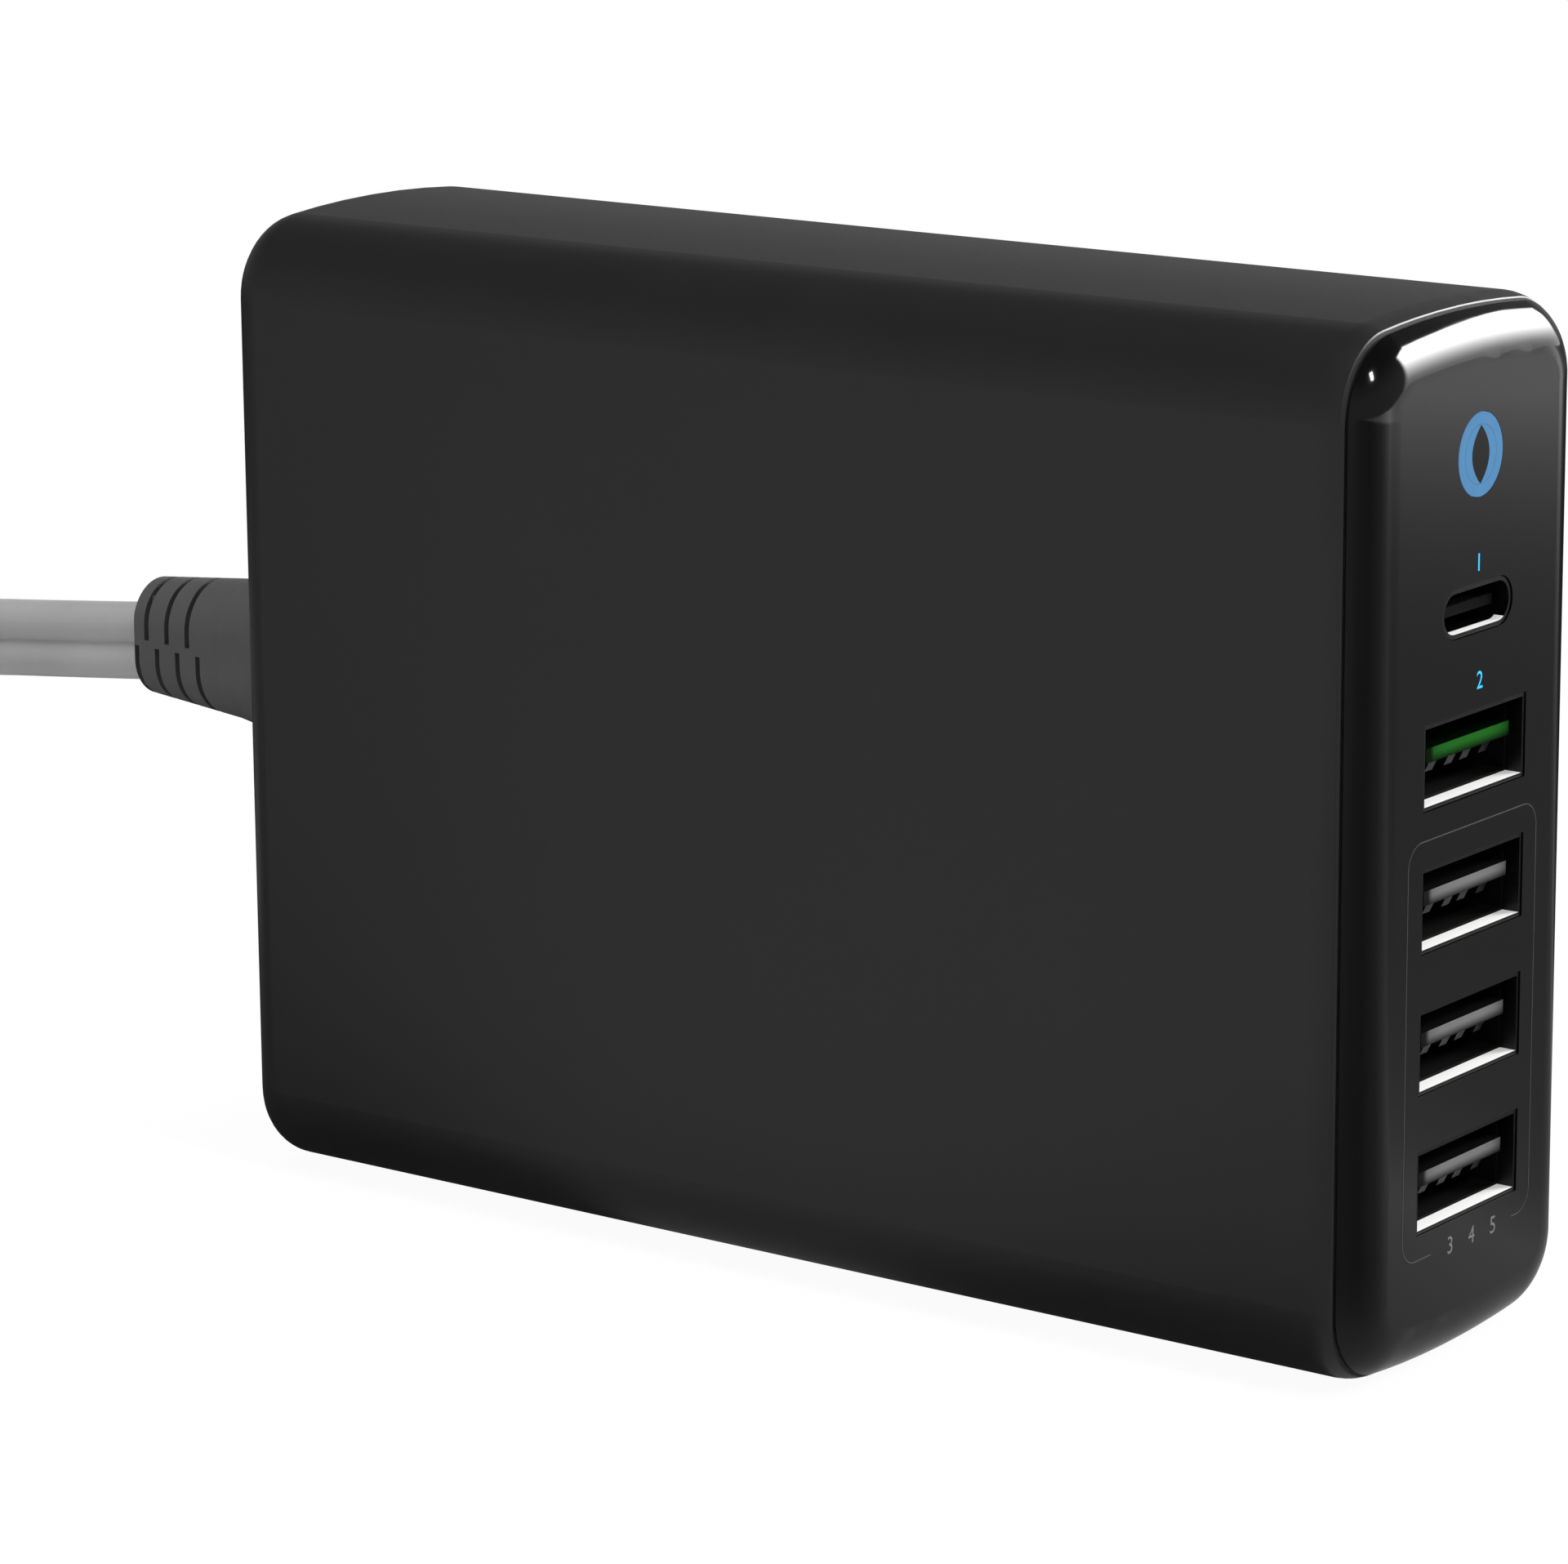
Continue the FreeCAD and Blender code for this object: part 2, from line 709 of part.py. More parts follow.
def make_c_port():
    """The small port: oblong shell, thin tongue on its base and two rows of flat contacts."""
    inner_width = s.c_shell_width - 2 * s.c_shell_sheet
    inner_height = s.c_shell_height - 2 * s.c_shell_sheet
    shell = new_body("c_shell")
    outside = sketch_on(shell, "YZ_Plane", (0, c_port_z, port_board_x))
    oblong(outside, s.c_shell_width, s.c_shell_height)
    grow(shell, outside, s.a_shell_depth)
    inside = sketch_on(shell, "YZ_Plane", (0, c_port_z, port_board_x))
    oblong(inside, inner_width, inner_height)
    carve(shell, inside, s.a_shell_depth)
    node(shell, "usb_c_shell")
    tongue = new_body("c_tongue")
    base = sketch_on(tongue, "YZ_Plane", (0, c_port_z, port_board_x))
    oblong(base, inner_width, inner_height)
    grow(tongue, base, s.c_base_depth)
    blade = sketch_on(tongue, "YZ_Plane", (0, c_port_z, port_board_x))
    rectangle(blade, s.c_tongue_width, s.c_tongue_thickness)
    grow(tongue, blade, s.a_shell_depth - s.c_tongue_setback)
    node(tongue, "usb_c_tongue")
    pads = []
    along = (port_board_x + s.c_base_depth, shell_front_x - 2 * s.c_tongue_setback)
    for step in range(C_CONTACTS):
        side = (step - (C_CONTACTS - 1) / 2) * s.c_contact_pitch
        across = around(side, s.c_contact_width)
        top = c_port_z + s.c_tongue_thickness / 2
        bottom = c_port_z - s.c_tongue_thickness / 2
        pads.append(block(f"pad_above_{step}", along, across, (top, top + s.c_contact_sheet)))
        pads.append(block(f"pad_below_{step}", along, across, (bottom - s.c_contact_sheet, bottom)))
    node(grouped("c_contacts", pads), "usb_c_contacts")


# Boards and the mains inlet

def make_boards():
    wide = around(as_size(0), 2 * (cavity_half - s.port_board_gap))
    tall = (board_low_z, board_high_z)
    node(block("front_board", (port_board_back_x, port_board_x), wide, tall), "port_board")
    node(block("power_board", (board_rear_x, port_board_back_x), (board_y, board_back_y), tall), "main_board")
    rail_edge = s.wall + s.rail_inset + s.rail_width / 2 + s.sheet_gap
    film = block(
        "film",
        (board_rear_x, port_board_back_x),
        (cavity_half - s.sheet_thickness, cavity_half),
        (rail_edge, s.height - rail_edge),
    )
    node(film, "insulation_sheet")


inlet_shelf_x = cavity_rear_x + s.inlet_flange
inlet_floor_x = rear_x + s.inlet_recess
inlet_end_x = inlet_floor_x + s.inlet_back
inlet_wide = s.inlet_height + 2 * s.inlet_rim
inlet_tall = s.inlet_length + 2 * s.inlet_rim


def make_inlet():
    """Socket of the mains inlet, seated behind the rear wall and on the board, with its two pins."""
    body = new_body("inlet")
    spout = sketch_on(body, "YZ_Plane", (0, middle_z, rear_x))
    oblong(spout, inlet_wide, inlet_tall)
    grow(body, spout, inlet_end_x - rear_x)
    flange = sketch_on(body, "YZ_Plane", (0, middle_z, cavity_rear_x))
    rectangle(flange, inlet_wide + 2 * s.inlet_flange_rim, inlet_tall + 2 * s.inlet_flange_rim)
    grow(body, flange, s.inlet_flange)
    foot = sketch_on(body, "YZ_Plane", (board_y / 2, middle_z, inlet_shelf_x))
    rectangle(foot, board_y, inlet_tall - inlet_wide)
    grow(body, foot, inlet_end_x - inlet_shelf_x)
    recess = sketch_on(body, "YZ_Plane", (0, middle_z, rear_x))
    oblong(recess, s.inlet_height, s.inlet_length)
    carve(body, recess, s.inlet_recess)
    for sign in (-1, 1):
        bore = sketch_on(body, "YZ_Plane", (0, middle_z + sign * s.pin_spacing / 2, inlet_floor_x))
        disc(bore, s.pin_diameter + 2 * s.pin_fit)
        carve(body, bore, s.inlet_back)
    node(body, "inlet_socket")
    pins = []
    for sign in (-1, 1):
        pin_z = middle_z + sign * s.pin_spacing / 2
        start = rear_x + s.pin_setback
        end = inlet_end_x + s.part_gap + s.pin_tail
        shank = rod(f"shank_{sign}", "x", (start, 0, pin_z), end - start, s.pin_diameter)
        half = s.pin_tail / 2
        tail = block(f"tail_{sign}", (end - s.pin_tail, end), (0, board_y), (pin_z - half, pin_z + half))
        pins.append(joined(f"pin_{sign}", shank, tail))
    node(grouped("pins", pins), "inlet_pins")


# Parts that stand on the main board, from its rear end forwards

def make_input_filter():
    low_z = board_low_z + s.part_inset
    x = board_rear_x + s.part_inset
    bounds = (x, x + s.x_capacitor_length)
    capacitor = block("film_capacitor", bounds, standing(s.x_capacitor_height), (low_z, low_z + s.x_capacitor_width))
    node(capacitor, "x_capacitor")
    fuse_at = (
        board_rear_x + s.part_inset + s.fuse_diameter / 2,
        board_y - s.fuse_height,
        board_high_z - s.part_inset - s.fuse_diameter / 2,
    )
    node(rod("round_fuse", "y", fuse_at, s.fuse_height, s.fuse_diameter), "fuse")
    plate_x = board_rear_x + s.bridge_place
    plate = block(
        "bridge", (plate_x, plate_x + s.bridge_thickness), standing(s.bridge_height), (low_z, low_z + s.bridge_width)
    )
    node(plate, "bridge_rectifier")
    core_at = (board_rear_x + s.choke_place, board_y - s.choke_winding - s.choke_height, middle_z)
    solid = rod("choke_solid", "y", core_at, s.choke_height, s.choke_diameter)
    bore = rod("choke_hole", "y", core_at, s.choke_height, s.choke_bore)
    core = node(minus("choke_ring", solid, bore), "choke_core")
    wound_at = (core_at[0], board_y - 2 * s.choke_winding - s.choke_height, middle_z)
    tall = s.choke_height + 2 * s.choke_winding
    halves = []
    for turn in CHOKE_TURNS:
        wound = s.choke_diameter + 2 * s.choke_winding
        wedge = rod(f"coil_wedge_{turn}", "y", wound_at, tall, wound, s.choke_sweep)
        wedge.Placement.Rotation = wedge.Placement.Rotation.multiply(Rotation(Vector(0, 0, 1), turn))
        place(wedge, *wound_at)
        eye = rod(f"coil_eye_{turn}", "y", wound_at, tall, s.choke_bore - 2 * s.choke_winding)
        ring = rod(f"coil_ring_{turn}", "y", core_at, s.choke_height, s.choke_diameter)
        ring_eye = rod(f"coil_ring_eye_{turn}", "y", core_at, s.choke_height, s.choke_bore)
        ring_solid = minus(f"coil_core_{turn}", ring, ring_eye)
        halves.append(minus(f"coil_half_{turn}", minus(f"coil_open_{turn}", wedge, eye), ring_solid))
    node(grouped("choke_coils", halves), "choke_winding")
    return core


def make_bulk_capacitor(number, z):
    """A large capacitor that lies on the board, with its two leads turned down to it."""
    x = board_rear_x + s.bulk_place
    axis_y = board_y - s.part_gap - s.bulk_diameter / 2
    can = rod(f"can_{number}", "x", (x, axis_y, z), s.bulk_length, s.bulk_diameter)
    items = [can]
    for sign in (-1, 1):
        lead_z = around(z + sign * s.bulk_lead_spacing / 2, s.bulk_lead)
        level = around(axis_y, s.bulk_lead)
        items.append(block(f"lead_{number}_{sign}", (x - s.bulk_lead_reach, x), level, lead_z))
        down = (x - s.bulk_lead_reach, x - s.bulk_lead_reach + s.bulk_lead)
        items.append(block(f"leg_{number}_{sign}", down, (level[0], board_y), lead_z))
    node(joined(f"bulk_{number}", *items), f"bulk_capacitor_{number}")


def make_transformer():
    """Two E-shaped ferrite halves round a bobbin that stands on the board, with its winding."""
    x = board_rear_x + s.transformer_place
    side = around(middle_z, s.transformer_side)
    window_x = (x + s.core_limb, x + s.transformer_side - s.core_limb)
    middle = around(middle_z, s.core_middle)
    wound = s.core_height + 2 * s.bobbin_wall + 2 * s.winding_thickness
    core_y = around(board_y - s.part_gap - wound / 2, s.core_height)
    body = block("ferrite", (x, x + s.transformer_side), core_y, side)
    lower = block("window_low", window_x, core_y, (side[0] + s.core_limb, middle[0]))
    upper = block("window_high", window_x, core_y, (middle[1], side[1] - s.core_limb))
    node(minus("ferrite_core", body, joined("windows", lower, upper)), "transformer_core")
    tube_y = (core_y[0] - s.bobbin_wall, core_y[1] + s.bobbin_wall)
    tube_z = (middle[0] - s.bobbin_wall, middle[1] + s.bobbin_wall)
    wound_y = (tube_y[0] - s.winding_thickness, tube_y[1] + s.winding_thickness)
    wound_z = (side[0] + s.core_limb + s.part_gap, side[1] - s.core_limb - s.part_gap)
    tube = block("bobbin_tube", window_x, tube_y, tube_z)
    ends = []
    for step, start in enumerate((window_x[0], window_x[1] - s.bobbin_wall)):
        bounds = (start, start + s.bobbin_wall)
        ends.append(block(f"bobbin_end_{step}", bounds, (wound_y[0], board_y), wound_z))
    limb = block("bobbin_bore", window_x, core_y, middle)
    node(minus("bobbin", joined("bobbin_solid", tube, *ends), limb), "transformer_bobbin")
    wound_x = (window_x[0] + s.bobbin_wall, window_x[1] - s.bobbin_wall)
    wire = block("wire_solid", wound_x, wound_y, wound_z)
    eye = block("wire_eye", wound_x, tube_y, tube_z)
    node(minus("wire", wire, eye), "transformer_winding")


def make_output_parts():
    x = board_rear_x + s.transformer_place + s.transformer_side + s.heatsink_gap
    plate_x = (x, x + s.heatsink_thickness)
    wide = around(middle_z, s.heatsink_width)
    node(block("plate", plate_x, standing(s.heatsink_height), wide), "primary_heatsink")
    switch_x = (plate_x[1], plate_x[1] + s.switch_thickness)
    switch = block("switch", switch_x, standing(s.switch_height), around(middle_z, s.switch_width))
    node(switch, "primary_switch")
    cans = []
    edge = middle_z - s.wall - s.board_edge_gap - s.part_inset - s.output_diameter / 2
    for sign in (-1, 1):
        at = (board_rear_x + s.output_place, board_y - s.output_height, middle_z + sign * edge)
        cans.append(rod(f"output_{sign}", "y", at, s.output_height, s.output_diameter))
    node(grouped("output_cans", cans), "output_capacitors")


# Mains cord

shoulder_x = rear_x - s.shoulder_gap
relief_start_x = shoulder_x - s.grip_length
connector_end_x = relief_start_x - s.relief_length


def make_connector():
    """Moulded connector in the inlet: nose with two sleeves, tapered grip and slotted strain relief."""
    body = new_body("connector")
    waist = sketch_on(body, "YZ_Plane", (0, middle_z, relief_start_x))
    oblong(waist, s.grip_width, s.grip_height)
    grow_tapered(body, waist, s.relief_length, -s.relief_taper, False)
    grip = sketch_on(body, "YZ_Plane", (0, middle_z, relief_start_x))
    oblong(grip, s.grip_width, s.grip_height)
    grow_tapered(body, grip, s.grip_length, s.grip_flare)
    dress(body, "Chamfer", end_face(body.Tip.Shape, -1).Edges, s.relief_round)
    nose = sketch_on(body, "YZ_Plane", (0, middle_z, shoulder_x))
    oblong(nose, s.inlet_height - 2 * s.nose_fit, s.inlet_length - 2 * s.nose_fit)
    grow(body, nose, s.shoulder_gap + s.nose_length)
    sleeve_outer = s.pin_diameter + 2 * s.pin_fit + 2 * s.sleeve_wall
    tip_x = rear_x + s.nose_length
    for sign in (-1, 1):
        bore = sketch_on(body, "YZ_Plane", (0, middle_z + sign * s.pin_spacing / 2, tip_x))
        disc(bore, sleeve_outer + 2 * s.sleeve_fit)
        carve(body, bore, s.sleeve_length, False)
    wide = around(as_size(0), 2 * s.grip_width)
    slots = []
    for step in range(LOWER_SLOTS):
        x = connector_end_x + s.relief_round + step * s.relief_pitch
        z = (middle_z - s.grip_height, middle_z - s.relief_web / 2)
        slots.append(block(f"slot_low_{step}", (x, x + s.relief_slot), wide, z))
    for step in range(UPPER_SLOTS):
        x = connector_end_x + s.relief_round + (step + 0.5) * s.relief_pitch
        z = (middle_z + s.relief_web / 2, middle_z + s.grip_height)
        slots.append(block(f"slot_high_{step}", (x, x + s.relief_slot), wide, z))
    core = block(
        "relief_core",
        (connector_end_x, relief_start_x),
        around(as_size(0), s.relief_core_width),
        around(middle_z, s.relief_core_height),
    )
    slotted = minus("relief_slots", joined("relief_cuts", *slots), core)
    connector = node(minus("connector_slotted", body, slotted), "cord_connector")
    tubes = []
    for sign in (-1, 1):
        start = (tip_x - s.sleeve_length, 0, middle_z + sign * s.pin_spacing / 2)
        outside = rod(f"sleeve_{sign}", "x", start, s.sleeve_length, sleeve_outer)
        inside = rod(f"sleeve_bore_{sign}", "x", start, s.sleeve_length, s.pin_diameter + 2 * s.pin_fit)
        tubes.append(minus(f"sleeve_tube_{sign}", outside, inside))
    node(grouped("sleeves", tubes), "connector_sleeves")
    return connector


# Points of the cord, from the end of the connector: the lead sinks onto the hank's upper outer turn, and
# the tail leaves its lower outer turn for the plug.
LEAD = [
    (0.0, 0.0, -0.6),
    (-16.6, 0.0, -2.4),
    (-32.6, 2.2, -7.6),
    (-46.7, 7.0, -15.6),
    (-61.7, 11.7, -22.8),
    (-78.4, 12.6, -26.3),
]
COIL_MIDDLE = (-100.15, -12.0)
TAIL = [
    (-78.9, -35.9, -32.6),
    (-68.1, -35.6, -32.1),
    (-57.6, -33.3, -30.0),
    (-47.1, -32.0, -28.8),
]


def rounded_route(points):
    """Straight runs joined by tangent arcs, each as large as its two runs allow."""
    edges = []
    start = points[0]
    for before, corner, after in zip(points, points[1:], points[2:]):
        back = (before - corner).normalize()
        onward = (after - corner).normalize()
        half = (math.pi - back.getAngle(onward)) / 2
        setback = ARC_SHARE * min((before - corner).Length, (after - corner).Length)
        radius = setback / math.tan(half)
        inward = (back + onward).normalize()
        top = corner + inward * (radius / math.cos(half) - radius)
        first = corner + back * setback
        last = corner + onward * setback
        print(f"cord bend radius {radius:.1f}")
        edges.append(Part.LineSegment(start, first).toShape())
        edges.append(Part.Arc(first, top, last).toShape())
        start = last
    edges.append(Part.LineSegment(start, points[-1]).toShape())
    return Part.Wire(edges)


def cord_tube(label, points, stops):
    """A flat cord along a route, its wide side upright, trimmed where it meets other pieces."""
    route = rounded_route(points)
    tall = s.cord_width.number / 2
    wide = s.cord_thickness.number / 2
    ahead = (points[1] - points[0]).normalize()
    side = Vector(0, 0, 1).cross(ahead).normalize()
    rise = ahead.cross(side)
    outline = [(wide, -tall), (wide, tall), (-wide, tall), (-wide, -tall)]
    corners = [points[0] + side * across + rise * up for across, up in outline]
    profile = Part.makePolygon(corners + corners[:1])
    sweep = Part.BRepOffsetAPI.MakePipeShell(route)
    sweep.add(profile)
    sweep.build()
    sweep.makeSolid()
    tube = sweep.shape()
    expected = Part.Face(profile).Area * route.Length
    print(f"{label} volume {tube.Volume:.1f}, section times length {expected:.1f}, length {route.Length:.1f}")
    made = doc.addObject("Part::Feature", label)
    made.Shape = tube.cut(stops)
    return node(made, label)


def make_cord(connector, plug):
    """Lead, hank, tail and the tie round the hank's far end."""
    start = Vector(connector_end_x.number, 0, middle_z.number)
    lead = [start + Vector(*point) for point in LEAD]
    tail = [start + Vector(*point) for point in TAIL]
    coil_x = connector_end_x + COIL_MIDDLE[0]
    coil_y = as_size(COIL_MIDDLE[1])
    coil = new_body("coil")
    outside = sketch_on(coil, "XY_Plane", (coil_x, coil_y, s.coil_lift))
    oblong(outside, s.coil_run + s.coil_width, s.coil_width)
    grow(coil, outside, s.coil_height)
    eye_width = s.coil_width - 2 * s.coil_build
    inside = sketch_on(coil, "XY_Plane", (coil_x, coil_y, s.coil_lift))
    oblong(inside, s.coil_run + eye_width, eye_width)
    carve(coil, inside, s.coil_height)
    node(coil, "cord_coil")
    cord_tube("cord_lead", lead, [coil.Shape, connector.Shape])
    cord_tube("cord_tail", tail, [coil.Shape, plug.Shape])
    outer = coil_x - (s.coil_run + s.coil_width) / 2
    inner = outer + s.coil_build + s.tie_clearance
    across = around(coil_y, s.tie_width)
    top = s.coil_lift + s.coil_height
    band = block("tie_band", (outer - s.coil_lift, inner + s.coil_lift), across, (0, top + s.coil_lift))
    eye = block("tie_eye", (outer, inner), across, (s.coil_lift, top))
    node(minus("tie", band, eye), "cord_tie")


def make_plug():
    """Moulded two-blade plug that lies flat on the surface at the end of the tail."""
    end = TAIL[-1]
    x = connector_end_x + end[0]
    y = as_size(end[1])
    z = s.plug_height / 2
    body = new_body("plug")
    slope_x = x + s.plug_neck_length
    head_x = slope_x + s.plug_slope_length
    face_x = head_x + s.plug_head_length
    head = sketch_on(body, "YZ_Plane", (y, z, head_x))
    bevelled(head, s.plug_width, s.plug_height, s.plug_bevel)
    grow_tapered(body, head, s.plug_head_length, -s.plug_head_draft)
    dress(body, "Chamfer", end_face(body.Tip.Shape, 1).Edges, s.plug_round)
    shoulder = sketch_on(body, "YZ_Plane", (y, z, head_x))
    bevelled(shoulder, s.plug_width, s.plug_height, s.plug_bevel)
    grow_tapered(body, shoulder, s.plug_slope_length, -s.plug_slope, False)
    neck = sketch_on(body, "YZ_Plane", (y, z, slope_x))
    bevelled(neck, s.plug_neck_width, s.plug_neck_height, s.neck_bevel)
    grow_tapered(body, neck, s.plug_neck_length, -s.plug_neck_taper, False)
    plug = node(body, "plug_body")
    blades = []
    for sign in (-1, 1):
        side = around(y + sign * s.blade_spacing / 2, s.blade_thickness)
        strip = block(f"strip_blade_{sign}", (face_x, face_x + s.blade_length), side, around(z, s.blade_width))
        at = (face_x + s.blade_length - s.blade_hole_setback, side[0], z)
        hole = rod(f"blade_eye_{sign}", "y", at, s.blade_thickness, s.blade_hole)
        blades.append(minus(f"blade_{sign}", strip, hole))
    node(grouped("blades", blades), "plug_blades")
    return plug


make_housing()
make_front_panel()
make_status_light()
for number, port_z in enumerate(a_port_z, 1):
    make_a_port(number, port_z)
make_c_port()
make_boards()
make_inlet()
make_input_filter()
inset_z = s.part_inset + s.bulk_diameter / 2
make_bulk_capacitor(1, board_low_z + inset_z)
make_bulk_capacitor(2, board_high_z - inset_z)
make_transformer()
make_output_parts()
cord_connector = make_connector()
mains_plug = make_plug()
doc.recompute()
make_cord(cord_connector, mains_plug)

doc.recompute()
for item in doc.Objects:
    if "Invalid" in item.State or "Error" in item.State:
        raise RuntimeError(f"{item.Name} failed: {item.State}")
for item in nodes:
    if item.Shape.isNull() or not item.Shape.isValid():
        raise RuntimeError(f"{item.Label} has no valid shape")
os.makedirs("parts", exist_ok=True)
for item in nodes:
    item.Shape.exportStep(f"parts/{item.Label}.step")
print(f"{len(nodes)} pieces")
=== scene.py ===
import math

import bmesh
import bpy
from bpy.props import FloatProperty, FloatVectorProperty, IntProperty, PointerProperty
from mathutils import Matrix, Vector


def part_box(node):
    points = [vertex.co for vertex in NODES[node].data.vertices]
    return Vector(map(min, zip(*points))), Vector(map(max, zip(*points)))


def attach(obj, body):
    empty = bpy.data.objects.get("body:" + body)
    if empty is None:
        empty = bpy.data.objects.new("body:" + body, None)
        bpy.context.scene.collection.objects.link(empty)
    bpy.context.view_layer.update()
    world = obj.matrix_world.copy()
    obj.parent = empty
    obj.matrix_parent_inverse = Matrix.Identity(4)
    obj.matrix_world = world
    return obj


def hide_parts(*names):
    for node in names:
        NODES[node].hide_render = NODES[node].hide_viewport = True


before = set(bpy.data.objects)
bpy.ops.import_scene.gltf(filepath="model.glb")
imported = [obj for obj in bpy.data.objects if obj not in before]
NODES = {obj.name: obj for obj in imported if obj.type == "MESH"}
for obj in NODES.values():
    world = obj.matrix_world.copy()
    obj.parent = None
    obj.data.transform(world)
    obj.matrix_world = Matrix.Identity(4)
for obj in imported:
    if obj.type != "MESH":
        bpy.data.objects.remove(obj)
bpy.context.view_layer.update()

bl_info = {
    "name": "Desktop charger",
    "version": (1, 0, 0),
    "blender": (4, 5, 0),
    "location": "View3D > Sidebar > Charger",
    "description": "Finishes, printed marks, mains cord and studio of a five-port desktop charger",
    "category": "Object",
}

MM = 0.001
BODY = "root"

# Places that the frame gives
PANEL_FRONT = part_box("front_panel")[1].x
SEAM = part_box("housing")[1].x
SHELL_LOW, SHELL_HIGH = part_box("usb_a_shell_1")
PORT_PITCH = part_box("usb_a_tongue_2")[0].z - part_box("usb_a_tongue_1")[0].z

# Groups of parts
CASING = ("housing", "front_panel", "ring_guide")
RING_MIDDLE = ("ring_plug",)
CORD_SOLIDS = ("cord_lead", "cord_coil", "cord_tail")
CORD_ENDS = ("cord_connector", "connector_sleeves", "cord_tie", "plug_body", "plug_blades")
PORTS = tuple(name for name in NODES if name.startswith("usb_"))
OUTSIDE = (*CASING, *RING_MIDDLE, *CORD_SOLIDS, *CORD_ENDS, *PORTS)
INSIDE = tuple(name for name in NODES if name not in OUTSIDE)


# Settings that a user would change

def length_setting(name, description, default):
    """A length with its default in millimetres."""
    return FloatProperty(name=name, description=description, default=default * MM, unit="LENGTH")


def angle_setting(name, description, default):
    """An angle with its default in degrees."""
    return FloatProperty(
        name=name, description=description, default=math.radians(default), subtype="ANGLE"
    )


def power_setting(name, description, default):
    """A lamp's power, with its default in watts."""
    return FloatProperty(name=name, description=description, default=default, subtype="POWER")


def colour_setting(name, description, *default):
    """A colour with its default in linear red, green and blue."""
    return FloatVectorProperty(name=name, description=description, default=default, subtype="COLOR")


class CordSettings(bpy.types.PropertyGroup):
    """Sizes of the flat twin cord."""

    width: length_setting("Width", "Across both cores", 6.2)
    thickness: length_setting("Thickness", "Across one core", 3.4)
    groove: length_setting("Groove", "Thickness of the web between the cores", 2.0)
    length: length_setting("Length", "Free length from connector to plug", 1230.0)
    turn_points: IntProperty(
        name="Points per turn", description="Route points in one turn of the hank", default=16
    )
    colour: colour_setting("Colour", "Colour of the extruded jacket", 0.34, 0.34, 0.342)


class PrintSettings(bpy.types.PropertyGroup):
    """Marks printed on the gloss panel."""

    line: length_setting("Line", "Width of the frame line", 0.065)
    left: length_setting("Left", "Left side of the frame", -8.46)
    right: length_setting("Right", "Right side of the frame", 8.37)
    low: length_setting("Low", "Bottom of the frame", 8.7)
    high: length_setting("High", "Top of the frame", 37.87)
    corner: length_setting("Corner", "Corner radius of the frame", 1.7)
    gap_start: length_setting("Gap start", "Where the gap begins", -4.66)
    gap_end: length_setting("Gap end", "Where the gap ends", 6.04)
    figure: length_setting("Figures", "Height of the numbers", 1.25)
    ink: length_setting("Ink", "Thickness of the printed layer", 0.012)
    grey: colour_setting("Grey ink", "Colour of the lower numbers", 0.1, 0.1, 0.102)
    fine: colour_setting("Line ink", "Colour of the frame line", 0.034, 0.034, 0.0345)
    blue: colour_setting("Blue ink", "Colour of the upper numbers", 0.007, 0.376, 0.83)


class FinishSettings(bpy.types.PropertyGroup):
    """Colours of the moulded and lit surfaces."""

    housing: colour_setting("Housing", "Matte moulded cup", 0.008, 0.008, 0.0082)
    panel: colour_setting("Panel", "Gloss front panel", 0.001, 0.001, 0.00103)
    ring: colour_setting("Ring", "Light of the status ring", 0.115, 0.345, 0.66)
    fast_tongue: colour_setting("Fast port", "Tongue of the upper wide port", 0.0065, 0.066, 0.0065)
    plain_tongue: colour_setting("Plain ports", "Tongues of the lower ports", 0.1, 0.1, 0.101)
    connector: colour_setting("Connector", "Moulded cord ends", 0.07, 0.07, 0.07)


class StudioSettings(bpy.types.PropertyGroup):
    """Camera and lamps."""

    target: FloatVectorProperty(
        name="Target",
        description="Point that the camera looks at",
        subtype="TRANSLATION",
        unit="LENGTH",
        default=(-8.742 * MM, 0.0, 32.851 * MM),
    )
    distance: length_setting("Distance", "From camera to target", 450.8)
    azimuth: angle_setting("Azimuth", "Camera's turn round the charger", 36.843)
    elevation: angle_setting("Elevation", "Camera's height angle", 13.272)
    roll: angle_setting("Roll", "Camera's tilt", -0.422)
    lens: FloatProperty(name="Lens", description="Focal length on a 36 mm sensor", default=142.11)
    key: power_setting("Key lamp", "Power of the front lamp", 4.0)
    top: power_setting("Top lamp", "Power of the overhead fill", 4.0)
    band: power_setting("Strip lamp", "Power of the rear strip", 6.0)


class ChargerSettings(bpy.types.PropertyGroup):
    """All settings of the charger."""

    cord: PointerProperty(type=CordSettings)
    print: PointerProperty(type=PrintSettings)
    finish: PointerProperty(type=FinishSettings)
    studio: PointerProperty(type=StudioSettings)


def settings():
    """The charger's settings in this scene."""
    return bpy.context.scene.charger


# Shader building

